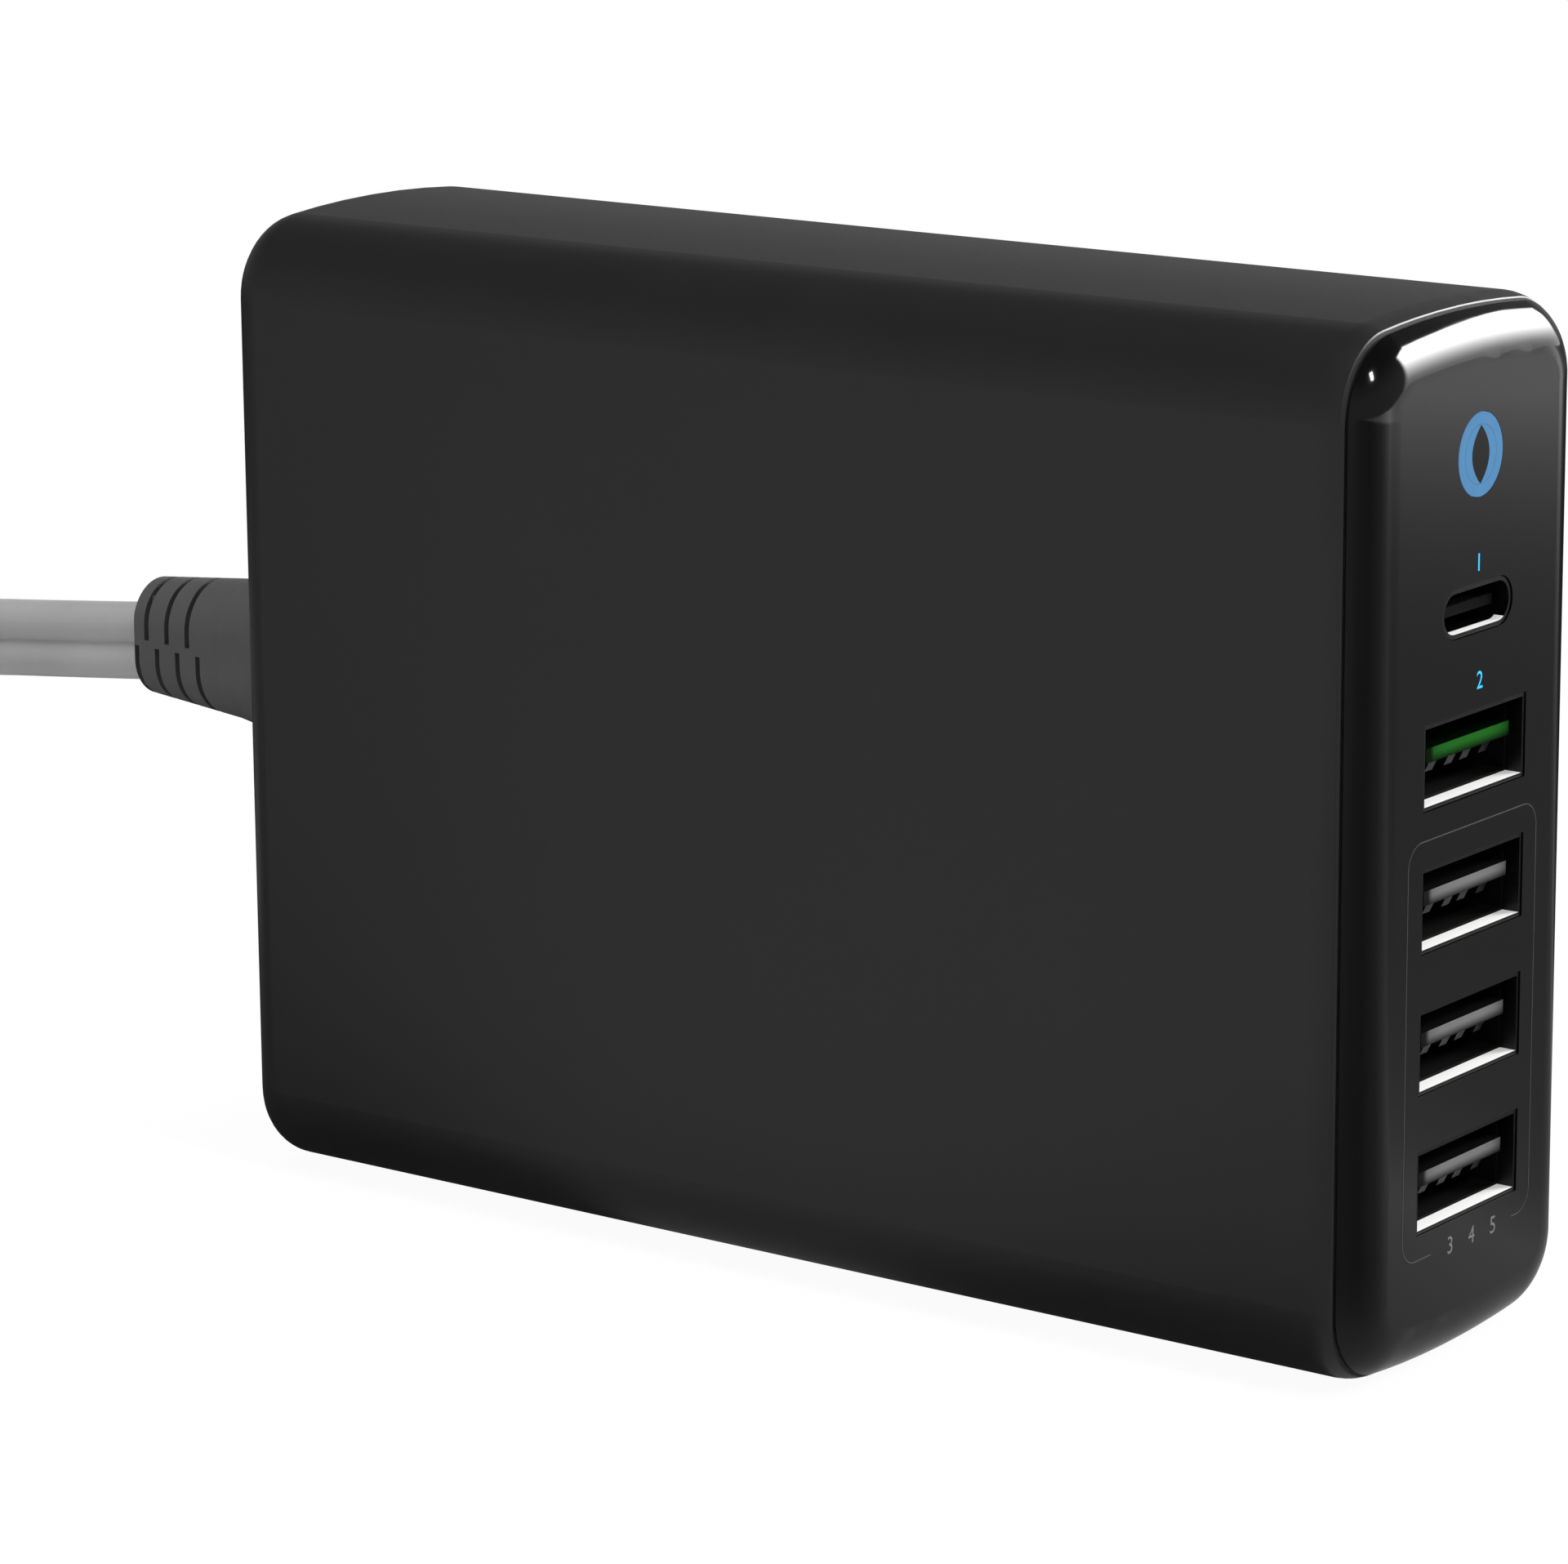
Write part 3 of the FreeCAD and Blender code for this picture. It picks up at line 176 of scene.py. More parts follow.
class Wire:
    """A shader socket: arithmetic on it adds the Math nodes that work the value out."""

    def __init__(self, finish, socket):
        self.finish = finish
        self.socket = socket

    def math(self, operation, *values):
        """A Math node on some values."""
        return self.finish.node("ShaderNodeMath", {"operation": operation}, dict(enumerate(values)))

    def __add__(self, other):
        return self.math("ADD", self, other)

    def __radd__(self, other):
        return self.math("ADD", other, self)

    def __sub__(self, other):
        return self.math("SUBTRACT", self, other)

    def __rsub__(self, other):
        return self.math("SUBTRACT", other, self)

    def __mul__(self, other):
        return self.math("MULTIPLY", self, other)

    def __rmul__(self, other):
        return self.math("MULTIPLY", other, self)

    def __truediv__(self, other):
        return self.math("DIVIDE", self, other)

    def __pow__(self, other):
        return self.math("POWER", self, other)

    def __gt__(self, other):
        return self.math("GREATER_THAN", self, other)

    def __lt__(self, other):
        return self.math("LESS_THAN", self, other)


class Finish:
    """A node tree under construction, for a material or the world."""

    def __init__(self, owner):
        owner.use_nodes = True
        self.owner = owner
        self.tree = owner.node_tree
        self.tree.nodes.clear()

    def node(self, kind, setup=None, inputs=None, output=0):
        """Add a node, set it up, fill or link its sockets and return one of its outputs."""
        made = self.tree.nodes.new(kind)
        for name, value in (setup or {}).items():
            if name == "stops":
                self.set_stops(made.color_ramp, value)
            else:
                setattr(made, name, value)
        for key, value in (inputs or {}).items():
            if isinstance(value, Wire):
                self.tree.links.new(value.socket, made.inputs[key])
            else:
                made.inputs[key].default_value = value
        return Wire(self, made.outputs[output]) if made.outputs else None

    def set_stops(self, ramp, stops):
        """Grey stops of a colour ramp, in rising order."""
        ramp.elements.remove(ramp.elements[1])
        ramp.elements[0].position = stops[0][0]
        ramp.elements[0].color = self.colour(grey(stops[0][1]))
        for position, shade in stops[1:]:
            ramp.elements.new(position).color = self.colour(grey(shade))

    def place(self):
        """Object coordinates."""
        return self.node("ShaderNodeTexCoord", output="Object")

    def axis(self, vector, name):
        """One number of a vector."""
        return self.node("ShaderNodeSeparateXYZ", inputs={0: vector}, output=name)

    def graded(self, value, start, end, first=0.0, last=1.0):
        """A number that goes from first to last while the value goes from start to end."""
        limits = {0: value, 1: start, 2: end, 3: first, 4: last}
        return self.node("ShaderNodeMapRange", {"clamp": True}, limits)

    def facing(self, axis):
        """One number of the surface's normal."""
        return self.axis(self.node("ShaderNodeNewGeometry", output="Normal"), axis)

    def turn(self, way):
        """Direction seen from above, as a part of a whole turn."""
        return self.node("ShaderNodeTexGradient", {"gradient_type": "RADIAL"}, {"Vector": way})

    def shades(self, stops, value):
        """Grey by a number between 0 and 1."""
        return self.node("ShaderNodeValToRGB", {"stops": stops}, {"Fac": value})

    def noise(self, size, detail=2.0, stretch=(1.0, 1.0, 1.0), place=None):
        """Noise with grains of about a given size; a factor below 1 draws them out along its axis."""
        scale = tuple(factor / size for factor in stretch)
        at = self.node("ShaderNodeMapping", inputs={"Vector": place or self.place(), "Scale": scale})
        return self.node("ShaderNodeTexNoise", inputs={"Vector": at, "Scale": 1.0, "Detail": detail})

    def blend(self, factor, first, second):
        """A colour between two others."""
        colours = {0: factor, 6: self.colour(first), 7: self.colour(second)}
        return self.node("ShaderNodeMix", {"data_type": "RGBA"}, colours, output=2)

    def colour(self, value):
        """A colour as a socket takes it."""
        return value if isinstance(value, Wire) else (*value, 1.0)

    def bump(self, height, distance, strength):
        """A normal roughened by a height."""
        inputs = {"Height": height, "Distance": distance, "Strength": strength}
        return self.node("ShaderNodeBump", inputs=inputs)

    def surface(self, **inputs):
        """End the material in a Principled shader."""
        named = {name.replace("_", " "): value for name, value in inputs.items()}
        for name in ("Base Color", "Emission Color"):
            if name in named:
                named[name] = self.colour(named[name])
        shader = self.node("ShaderNodeBsdfPrincipled", inputs=named)
        self.node("ShaderNodeOutputMaterial", inputs={"Surface": shader})
        return self.owner


def new_finish(name):
    """The empty node tree of a new material."""
    return Finish(bpy.data.materials.new(name))


def grey(shade):
    """A neutral colour."""
    return (shade, shade, shade)


def scaled(colour, factor):
    """A darker or brighter shade of a colour."""
    return tuple(channel * factor for channel in colour)


# Finishes, one for each material slot of the record and a few for single parts

# How far the edges of the seam between housing and panel are dulled, and how many times paler the panel's
# edge is painted there, as painted light over the seam's dark line
HOUSING_EDGE = 0.12 * MM
PANEL_EDGE = 0.11 * MM
PANEL_EDGE_PAINTED_LIGHT = 90.0

# Light of the status ring: its strength, the cloudy range of its colour and the size of the clouds
RING_STRENGTH = 0.55
RING_CLOUD = (0.82, 0.92)
RING_GRAIN = 1.2 * MM

# Half the size of the dark lens in the middle of the ring
LENS_WIDTH = 1.12 * MM
LENS_HEIGHT = 2.0 * MM

# Painted shade on the tongues: the level of the lowest one's front edge, the fade of painted shade about it,
# the fade of painted shade at the near end, and half the width over which both ends are painted darker
TONGUE_LEVEL = (SHELL_LOW.z + SHELL_HIGH.z) / 2 + 0.6 * MM
TONGUE_PAINTED_SHADE_FADE = (-0.45 * MM, 0.1 * MM)
TONGUE_PAINTED_SHADE_START = (-4.8 * MM, -4.3 * MM)
TONGUE_PAINTED_SHADE_SPREAD = 5.6 * MM

# Sizes in the finishes of the inner parts
TRACK_SIZE = 3.2 * MM
PAD_SIZE = 2.4 * MM
STRIPE_EDGE = 2.0 * MM
WIRE_PITCH = 0.5 * MM
WAVE_PERIOD = 0.3  # about that of the wave texture at a scale of 1


def housing_matte(name):
    """Matte moulded plastic: fine spark texture over a faint mottle, with a duller seam."""
    make = new_finish(name)
    colour = tuple(settings().finish.housing)
    mottle = make.noise(14 * MM, 3.0)
    grain = make.noise(0.16 * MM, 3.0)
    coarse = make.noise(0.5 * MM, 2.0)
    rim = make.axis(make.place(), "X") > SEAM - HOUSING_EDGE
    base = make.blend(mottle, scaled(colour, 0.86), scaled(colour, 1.14))
    rough = 0.36 + 0.05 * coarse + 0.04 * mottle + 0.4 * rim
    relief = make.bump(grain * 0.6 + coarse * 0.4, 0.012 * MM, 0.4)
    return make.surface(Base_Color=base, Roughness=rough, Normal=relief, Specular_IOR_Level=0.5)


def panel_gloss(name):
    """High-gloss plastic with the faint waviness of a polished mould and a dull seam edge, painted paler
    there as painted light.
    """
    make = new_finish(name)
    colour = tuple(settings().finish.panel)
    wave = make.noise(9 * MM, 1.0)
    haze = make.noise(2.5 * MM, 4.0)
    rim = make.axis(make.place(), "X") < SEAM + PANEL_EDGE
    gloss = make.blend(haze, scaled(colour, 0.9), scaled(colour, 1.1))
    # Painted light: the panel's edge at the seam is painted many times paler than the gloss
    base = make.blend(rim, gloss, scaled(colour, PANEL_EDGE_PAINTED_LIGHT))
    rough = 0.045 + 0.05 * haze + 0.75 * rim
    relief = make.bump(wave, 0.008 * MM, 0.4)
    return make.surface(Base_Color=base, Roughness=rough, Normal=relief, Specular_IOR_Level=0.5)


def ring_blue(name):
    """Translucent light guide, lit from behind and a little cloudy."""
    make = new_finish(name)
    light = tuple(settings().finish.ring)
    cloud = make.noise(RING_GRAIN, 2.0)
    glow = make.blend(cloud, *[scaled(light, factor) for factor in RING_CLOUD])
    return make.surface(
        Base_Color=make.blend(cloud, scaled(light, 0.12), scaled(light, 0.16)),
        Roughness=0.28 + 0.1 * cloud,
        Emission_Color=glow,
        Emission_Strength=RING_STRENGTH,
        Specular_IOR_Level=0.1,
    )


def ring_middle(name):
    """Gloss disc in the ring: the ring's light covers its sides and leaves a narrow dark lens."""
    make = new_finish(name)
    place = make.place()
    light = tuple(settings().finish.ring)
    low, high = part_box("ring_plug")
    side = make.axis(place, "Y") / LENS_WIDTH
    rise = (make.axis(place, "Z") - (low.z + high.z) / 2) / LENS_HEIGHT
    lit = (side.math("ABSOLUTE", side) + rise * rise) > 1.0
    cloud = make.noise(RING_GRAIN, 2.0)
    glow = make.blend(cloud, *[scaled(light, factor) for factor in RING_CLOUD])
    return make.surface(
        Base_Color=make.blend(lit, scaled(settings().finish.panel, 8.0), scaled(light, 0.14)),
        Roughness=0.06 + 0.25 * lit,
        Emission_Color=make.blend(lit, grey(0.0), glow),
        Emission_Strength=RING_STRENGTH,
        Specular_IOR_Level=0.1,
    )


def plated_shell(name, sill, level):
    """Nickel-plated sheet, brushed along its length, its colour painted dark as shade.

    Only the sill behind the opening, where the normal's Z is over a level, is painted bright white: a
    painted reflection."""
    make = new_finish(name)
    place = make.place()
    brush = make.noise(0.12 * MM, 3.0, (0.06, 1.0, 1.0), place)
    upward = make.facing("Z") > level
    lit = upward * (make.axis(place, "X") > PANEL_FRONT - sill)
    # Painted shade: the nickel is darkened; the sill gets a painted reflection in plain white
    shade = make.blend(brush, (0.02, 0.02, 0.0205), (0.04, 0.04, 0.041))
    base = make.blend(lit, shade, (0.93, 0.93, 0.92))
    return make.surface(
        Base_Color=base,
        Metallic=1.0 - lit,
        Roughness=0.3 + 0.16 * brush,
        Normal=make.bump(brush, 0.01 * MM, 0.35),
    )


# Shells of the wide ports and the small one: painted shade with a painted bright sill
def port_steel(name):
    return plated_shell(name, sill=1.5 * MM, level=0.6)


def small_port_steel(name):
    return plated_shell(name, sill=0.85 * MM, level=0.85)


def moulded(name, colour, rough, grain=0.2 * MM, spread=0.12):
    """Plain moulded plastic or rubber: mottled colour and a fine grain."""
    make = new_finish(name)
    mottle = make.noise(5 * MM, 3.0)
    fine = make.noise(grain, 2.0)
    base = make.blend(mottle, scaled(colour, 1 - spread), scaled(colour, 1 + spread))
    relief = make.bump(fine, 0.01 * MM, 0.5)
    return make.surface(Base_Color=base, Roughness=rough + 0.1 * fine, Normal=relief)


def metal(name, colour, rough, stretch=(0.1, 1.0, 1.0)):
    """Bare metal with fine drawn lines."""
    make = new_finish(name)
    lines = make.noise(0.15 * MM, 3.0, stretch)
    base = make.blend(lines, scaled(colour, 0.85), colour)
    relief = make.bump(lines, 0.008 * MM, 0.4)
    return make.surface(Base_Color=base, Metallic=1.0, Roughness=rough + 0.15 * lines, Normal=relief)


def port_black(name):
    return moulded(name, (0.004, 0.004, 0.0042), 0.5)


def port_shade(name):
    """Black insulator deep in a port, darkened as painted shade where hardly any light comes back out."""
    make = new_finish(name)
    fine = make.noise(0.3 * MM, 2.0)
    base = make.blend(fine, grey(0.0012), grey(0.0022))
    return make.surface(Base_Color=base, Roughness=0.7 + 0.2 * fine, Specular_IOR_Level=0.05)


def tongue(name, colour):
    """Port tongue: coloured along its front edge, with painted shade towards its ends and underside."""
    make = new_finish(name)
    place = make.place()
    mottle = make.noise(3 * MM, 3.0)
    fine = make.noise(0.15 * MM, 2.0)
    facing = make.facing("X") > 0.6
    height = make.axis(place, "Z") - TONGUE_LEVEL
    rise = height.math("WRAP", height, PORT_PITCH / 2, -PORT_PITCH / 2)
    # Painted shade below each tongue's front edge
    painted_shade_by_height = make.graded(rise, *TONGUE_PAINTED_SHADE_FADE, 0.1)
    across = make.axis(place, "Y")
    start = make.graded(across, *TONGUE_PAINTED_SHADE_START, 0.05)
    side = across / TONGUE_PAINTED_SHADE_SPREAD
    along = start * (1.0 - 0.75 * (side * side) ** 2.0)
    edge = make.blend(mottle, scaled(colour, 0.9), scaled(colour, 1.1))
    # Painted shade: everything but the lit front face is darkened to a few hundredths of the colour
    base = make.blend(facing * painted_shade_by_height * along, scaled(colour, 0.03), edge)
    return make.surface(
        Base_Color=base,
        Roughness=0.45 + 0.1 * fine,
        Normal=make.bump(fine, 0.01 * MM, 0.4),
        Specular_IOR_Level=0.02,
    )


def tongue_green(name):
    return tongue(name, tuple(settings().finish.fast_tongue))


def tongue_grey(name):
    return tongue(name, tuple(settings().finish.plain_tongue))


def contact_gold(name):
    return metal(name, (0.75, 0.48, 0.16), 0.2)


# Gold contacts of the small port, painted dark as shade
def shaded_gold(name):
    return metal(name, (0.03, 0.019, 0.006), 0.5)


# Nickel spring contacts of the wide ports, painted dark as shade
def spring_contact(name):
    return metal(name, (0.022, 0.022, 0.0215), 0.4)


def contact_nickel(name):
    return metal(name, (0.55, 0.54, 0.52), 0.24)


def board_laminate(name):
    """Green board: solder mask over copper tracks, with bare pads."""
    make = new_finish(name)
    place = make.place()
    cells = make.node(
        "ShaderNodeTexVoronoi",
        {"feature": "DISTANCE_TO_EDGE", "distance": "EUCLIDEAN"},
        {"Vector": place, "Scale": 1 / TRACK_SIZE},
    )
    tracks = cells > 0.09
    spots = make.node(
        "ShaderNodeTexVoronoi",
        {"feature": "F1"},
        {"Vector": place, "Scale": 1 / PAD_SIZE},
    )
    pads = spots < 0.2
    weave = make.noise(0.4 * MM, 2.0)
    mask = make.blend(tracks, (0.008, 0.05, 0.018), (0.012, 0.085, 0.03))
    base = make.blend(pads, mask, (0.55, 0.52, 0.46))
    return make.surface(
        Base_Color=base,
        Metallic=0.8 * pads,
        Roughness=0.3 + 0.15 * weave,
        Normal=make.bump(tracks + weave * 0.3, 0.02 * MM, 0.4),
    )


def film_clear(name):
    """Milky insulating film."""
    make = new_finish(name)
    cloud = make.noise(6 * MM, 3.0)
    base = make.blend(cloud, (0.62, 0.62, 0.6), (0.74, 0.74, 0.72))
    return make.surface(Base_Color=base, Roughness=0.25 + 0.15 * cloud, Transmission_Weight=0.3)


def led_lens(name):
    """Small lamp with a clear dome over its chip."""
    make = new_finish(name)
    cloud = make.noise(0.6 * MM, 2.0)
    light = tuple(settings().finish.ring)
    return make.surface(
        Base_Color=make.blend(cloud, (0.7, 0.74, 0.8), (0.82, 0.85, 0.9)),
        Roughness=0.12 + 0.1 * cloud,
        Emission_Color=make.blend(cloud, scaled(light, 0.9), light),
        Emission_Strength=2.0,
    )


def film_yellow(name):
    return moulded(name, (0.6, 0.36, 0.03), 0.32, grain=0.3 * MM, spread=0.1)


def ferrite(name):
    """Pressed ferrite: dark grey, dull, with fine specks."""
    make = new_finish(name)
    specks = make.noise(0.22 * MM, 4.0)
    base = make.blend(specks ** 3.0, (0.018, 0.018, 0.02), (0.1, 0.1, 0.105))
    relief = make.bump(specks, 0.03 * MM, 0.5)
    return make.surface(Base_Color=base, Roughness=0.6 + 0.15 * specks, Normal=relief)


def copper_wire(name):
    """Close turns of enamelled wire."""
    make = new_finish(name)
    place = make.place()
    turns = make.node(
        "ShaderNodeTexWave",
        {"wave_type": "BANDS", "bands_direction": "X", "wave_profile": "SIN"},
        {"Vector": place, "Scale": WAVE_PERIOD / WIRE_PITCH, "Distortion": 0.3},
    )
    base = make.blend(turns, (0.12, 0.026, 0.008), (0.62, 0.2, 0.07))
    relief = make.bump(turns, 0.2 * MM, 0.6)
    return make.surface(Base_Color=base, Metallic=0.85, Roughness=0.24 + 0.1 * turns, Normal=relief)


def can_sleeve(name):
    """Shrink sleeve with a pale polarity stripe along one side."""
    make = new_finish(name)
    place = make.place()
    cloud = make.noise(3 * MM, 3.0)
    stripe = make.axis(place, "Y") < STRIPE_EDGE
    sleeve = make.blend(cloud, (0.012, 0.014, 0.03), (0.02, 0.022, 0.045))
    base = make.blend(stripe, sleeve, (0.4, 0.4, 0.42))
    relief = make.bump(cloud, 0.05 * MM, 0.3)
    return make.surface(Base_Color=base, Roughness=0.3 + 0.12 * cloud, Normal=relief)


def heatsink_metal(name):
    return metal(name, (0.62, 0.63, 0.64), 0.34, (1.0, 0.08, 1.0))


def can_metal(name):
    return metal(name, (0.72, 0.72, 0.71), 0.28, (1.0, 0.1, 1.0))


def connector_rubber(name):
    """Moulded cord end: soft plastic with an eroded-mould grain."""
    make = new_finish(name)
    colour = tuple(settings().finish.connector)
    mottle = make.noise(4 * MM, 3.0)
    grain = make.noise(0.22 * MM, 3.0)
    base = make.blend(mottle, scaled(colour, 0.85), scaled(colour, 1.15))
    relief = make.bump(grain, 0.03 * MM, 0.6)
    return make.surface(Base_Color=base, Roughness=0.46 + 0.12 * grain, Normal=relief)


def cord_rubber(name):
    """Extruded jacket: fine lines along the cord, read from its own UV map."""
    make = new_finish(name)
    colour = tuple(settings().cord.colour)
    along = make.node("ShaderNodeUVMap", {"uv_map": "UVMap"})
    lines = make.noise(0.02, 3.0, (0.02, 1.0, 1.0), along)
    cloud = make.noise(7 * MM, 3.0)
    base = make.blend(cloud, scaled(colour, 0.88), scaled(colour, 1.12))
    relief = make.bump(lines, 0.03 * MM, 0.4)
    return make.surface(Base_Color=base, Roughness=0.42 + 0.12 * lines, Normal=relief)


def tie_plastic(name):
    return moulded(name, (0.012, 0.012, 0.0125), 0.4)


SLOT_FINISHES = {
    finish.__name__: finish
    for finish in (
        housing_matte,
        panel_gloss,
        ring_blue,
        port_steel,
        port_black,
        tongue_green,
        tongue_grey,
        contact_gold,
        contact_nickel,
        board_laminate,
        film_clear,
        led_lens,
        film_yellow,
        ferrite,
        copper_wire,
        can_sleeve,
        heatsink_metal,
        can_metal,
        connector_rubber,
        cord_rubber,
        tie_plastic,
    )
}


def finished(slot):
    """The finish of a slot, made once."""
    name = f"{slot}_finish"
    return bpy.data.materials.get(name) or SLOT_FINISHES[slot](name)


def add_piece(name, mesh, slot, material=None):
    """Put a finished mesh into the scene as a piece that rides on the charger."""
    piece = bpy.data.objects.new(name, mesh)
    bpy.context.scene.collection.objects.link(piece)
    piece.data.materials.clear()
    piece.data.materials.append(material or finished(slot))
    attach(piece, BODY)
    return piece


# Mains cord

# Route points in metres: the lead sinks onto the hank's upper outer turn, and the tail leaves its lower
# outer turn for the plug
LEAD = [
    (-0.07045, 0.0, 0.0359),
    (-0.08000, 0.0, 0.0349),
    (-0.09200, 0.0002, 0.0337),
    (-0.10500, 0.0026, 0.0290),
    (-0.11755, 0.0070, 0.0209),
    (-0.13255, 0.0117, 0.0137),
    (-0.14450, 0.0126, 0.0104),
]
TAIL = [
    (-0.14450, -0.0366, 0.0037),
    (-0.13750, -0.0359, 0.0042),
    (-0.12800, -0.0332, 0.0065),
    (-0.11750, -0.0320, 0.0077),
]

# Hank: its middle, the straight run of each turn, the outer radius of the bends, the step from turn to turn,
# the levels of the two layers, the number of turns, and the part of a turn in which the cord changes layers
HANK_MIDDLE = Vector((-0.171, -0.012, 0.0))
HANK_RUN = 0.056
HANK_OUTER = 0.0245
HANK_PITCH = 0.0036
HANK_LOW = 0.0037
HANK_HIGH = 0.0101
HANK_TURNS = 4.5
HANK_SINK = 0.36

# Points round each core of the cord's section
LOBE_POINTS = 11


def hank_points(per_turn):
    """Turns of the hank: inwards on the upper layer, down, and outwards on the lower one.

    The spline runs inside its points, so they are set out by as much as it cuts."""
    swell = 1 / math.cos(math.pi / per_turn)
    points = []
    for step in range(round(HANK_TURNS * per_turn)):
        turn = (step + 0.5) / per_turn
        angle = math.pi / 2 + turn * math.tau
        radius = (HANK_OUTER - HANK_PITCH * min(turn, HANK_TURNS - turn)) * swell
        sink = min(max((turn - HANK_TURNS / 2) / HANK_SINK + 0.5, 0.0), 1.0)
        level = HANK_HIGH + (HANK_LOW - HANK_HIGH) * sink
        along = math.copysign(HANK_RUN / 2, math.cos(angle)) + radius * math.cos(angle)
        points.append(HANK_MIDDLE + Vector((along, radius * math.sin(angle), level)))
    return points


def route_curve(name, points):
    """A smooth open route through space, upright all along."""
    curve = bpy.data.curves.new(name, "CURVE")
    curve.dimensions = "3D"
    curve.twist_mode = "Z_UP"
    curve.resolution_u = 6
    spline = curve.splines.new("NURBS")
    spline.points.add(len(points) - 1)
    for point, place in zip(spline.points, points):
        point.co = (*place, 1.0)
    spline.order_u = 3
    spline.use_endpoint_u = True
    return curve


def twin_section(name, width, thickness, groove):
    """Section of a flat twin cord: two round cores joined by a web."""
    radius = thickness / 2
    reach = width / 2 - radius
    open_angle = math.asin(groove / thickness)
    curve = bpy.data.curves.new(name, "CURVE")
    curve.dimensions = "2D"
    spline = curve.splines.new("POLY")
    spline.use_cyclic_u = True
    sweep = math.pi - open_angle
    angles = [-sweep + 2 * sweep * step / (LOBE_POINTS - 1) for step in range(LOBE_POINTS)]
    places = [(radius * math.sin(angle), reach + radius * math.cos(angle)) for angle in angles]
    places += [(-across, -along) for across, along in places]
    spline.points.add(len(places) - 1)
    for point, (across, along) in zip(spline.points, places):
        point.co = (across, along, 0.0, 1.0)
    return curve


def mesh_of(item):
    """The mesh that a curve or text object shows."""
    graph = bpy.context.evaluated_depsgraph_get()
    shown = item.evaluated_get(graph)
    return bpy.data.meshes.new_from_object(shown, preserve_all_data_layers=True, depsgraph=graph)


def linked(name, data):
    """A new object in the scene."""
    item = bpy.data.objects.new(name, data)
    bpy.context.scene.collection.objects.link(item)
    bpy.context.view_layer.update()
    return item


class CHARGER_OT_cord(bpy.types.Operator):
    """Lay the flat mains cord from the connector through its hank to the plug"""

    bl_idname = "charger.cord"
    bl_label = "Mains cord"

    def execute(self, context):
        sizes = settings().cord
        points = [Vector(point) for point in LEAD] + hank_points(sizes.turn_points)
        points += [Vector(point) for point in TAIL]
        route = linked("cord_route", route_curve("cord_route", points))
        line = mesh_of(route)
        outline = twin_section("cord_section", sizes.width, sizes.thickness, sizes.groove)
        section = linked("cord_section", outline)
        route.data.bevel_mode = "OBJECT"
        route.data.bevel_object = section
        route.data.use_fill_caps = True
        bpy.context.view_layer.update()
        mesh = mesh_of(route)
        mesh.name = "mains_cord"
        for spare in (route, section):
            bpy.data.objects.remove(spare)
        mesh.polygons.foreach_set("use_smooth", [True] * len(mesh.polygons))
        cord = add_piece("mains_cord", mesh, "cord_rubber")
        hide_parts(*CORD_SOLIDS)
        return {"FINISHED"}


# Printed marks

# Turns a drawing in XY to face along +X
FRONT_PLANE = Matrix(((0, 0, 1, 0), (1, 0, 0, 0), (0, 1, 0, 0), (0, 0, 0, 1)))

# Numbers: their height as a part of the font's size, their spacing, and where they stand
FIGURE_HEIGHT = 0.72
FIGURE_SPACING = 1.15
FIRST_PLACE = (0.0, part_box("usb_c_shell")[1].z + 1.35 * MM)
SECOND_PLACE = (0.4 * MM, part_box("usb_a_shell_4")[1].z + 1.9 * MM)
LOWER_OFFSET = 0.7 * MM


def ink_finish(name, colour):
    """Screen-printed ink: slightly uneven cover and a soft gloss."""
    make = new_finish(name)
    cover = make.noise(0.25 * MM, 3.0)
    base = make.blend(cover, scaled(colour, 0.9), scaled(colour, 1.08))
    return make.surface(Base_Color=base, Roughness=0.35 + 0.1 * cover)


def add_print(name, shape, thickness, colour):
    """Give a flat shape the thickness of ink, stand it on the panel's front and add it."""
    bmesh.ops.recalc_face_normals(shape, faces=shape.faces)
    bmesh.ops.solidify(shape, geom=shape.faces[:], thickness=thickness)
    bed = PANEL_FRONT - min(vert.co.z for vert in shape.verts) + thickness / 4
    stand = Matrix.Translation((bed, 0, 0)) @ FRONT_PLANE
    bmesh.ops.transform(shape, matrix=stand, verts=shape.verts)
    mesh = bpy.data.meshes.new(name)
    shape.to_mesh(mesh)
    shape.free()
    add_piece(name, mesh, "panel_gloss", ink_finish(f"{name}_ink", colour))


def figures(text, size, centre):
    """Plain numbers as a flat mesh about a point of the front plane."""
    curve = bpy.data.curves.new("figures", "FONT")
    curve.body = text
    curve.size = size / FIGURE_HEIGHT
    curve.align_x = "CENTER"
    curve.align_y = "CENTER"
    curve.space_character = FIGURE_SPACING
    item = linked("figures", curve)
    mesh = mesh_of(item)
    bpy.data.objects.remove(item)
    shape = bmesh.new()
    shape.from_mesh(mesh)
    bmesh.ops.remove_doubles(shape, verts=shape.verts, dist=0.001 * MM)
    bmesh.ops.translate(shape, vec=(*centre, 0.0), verts=shape.verts)
    return shape


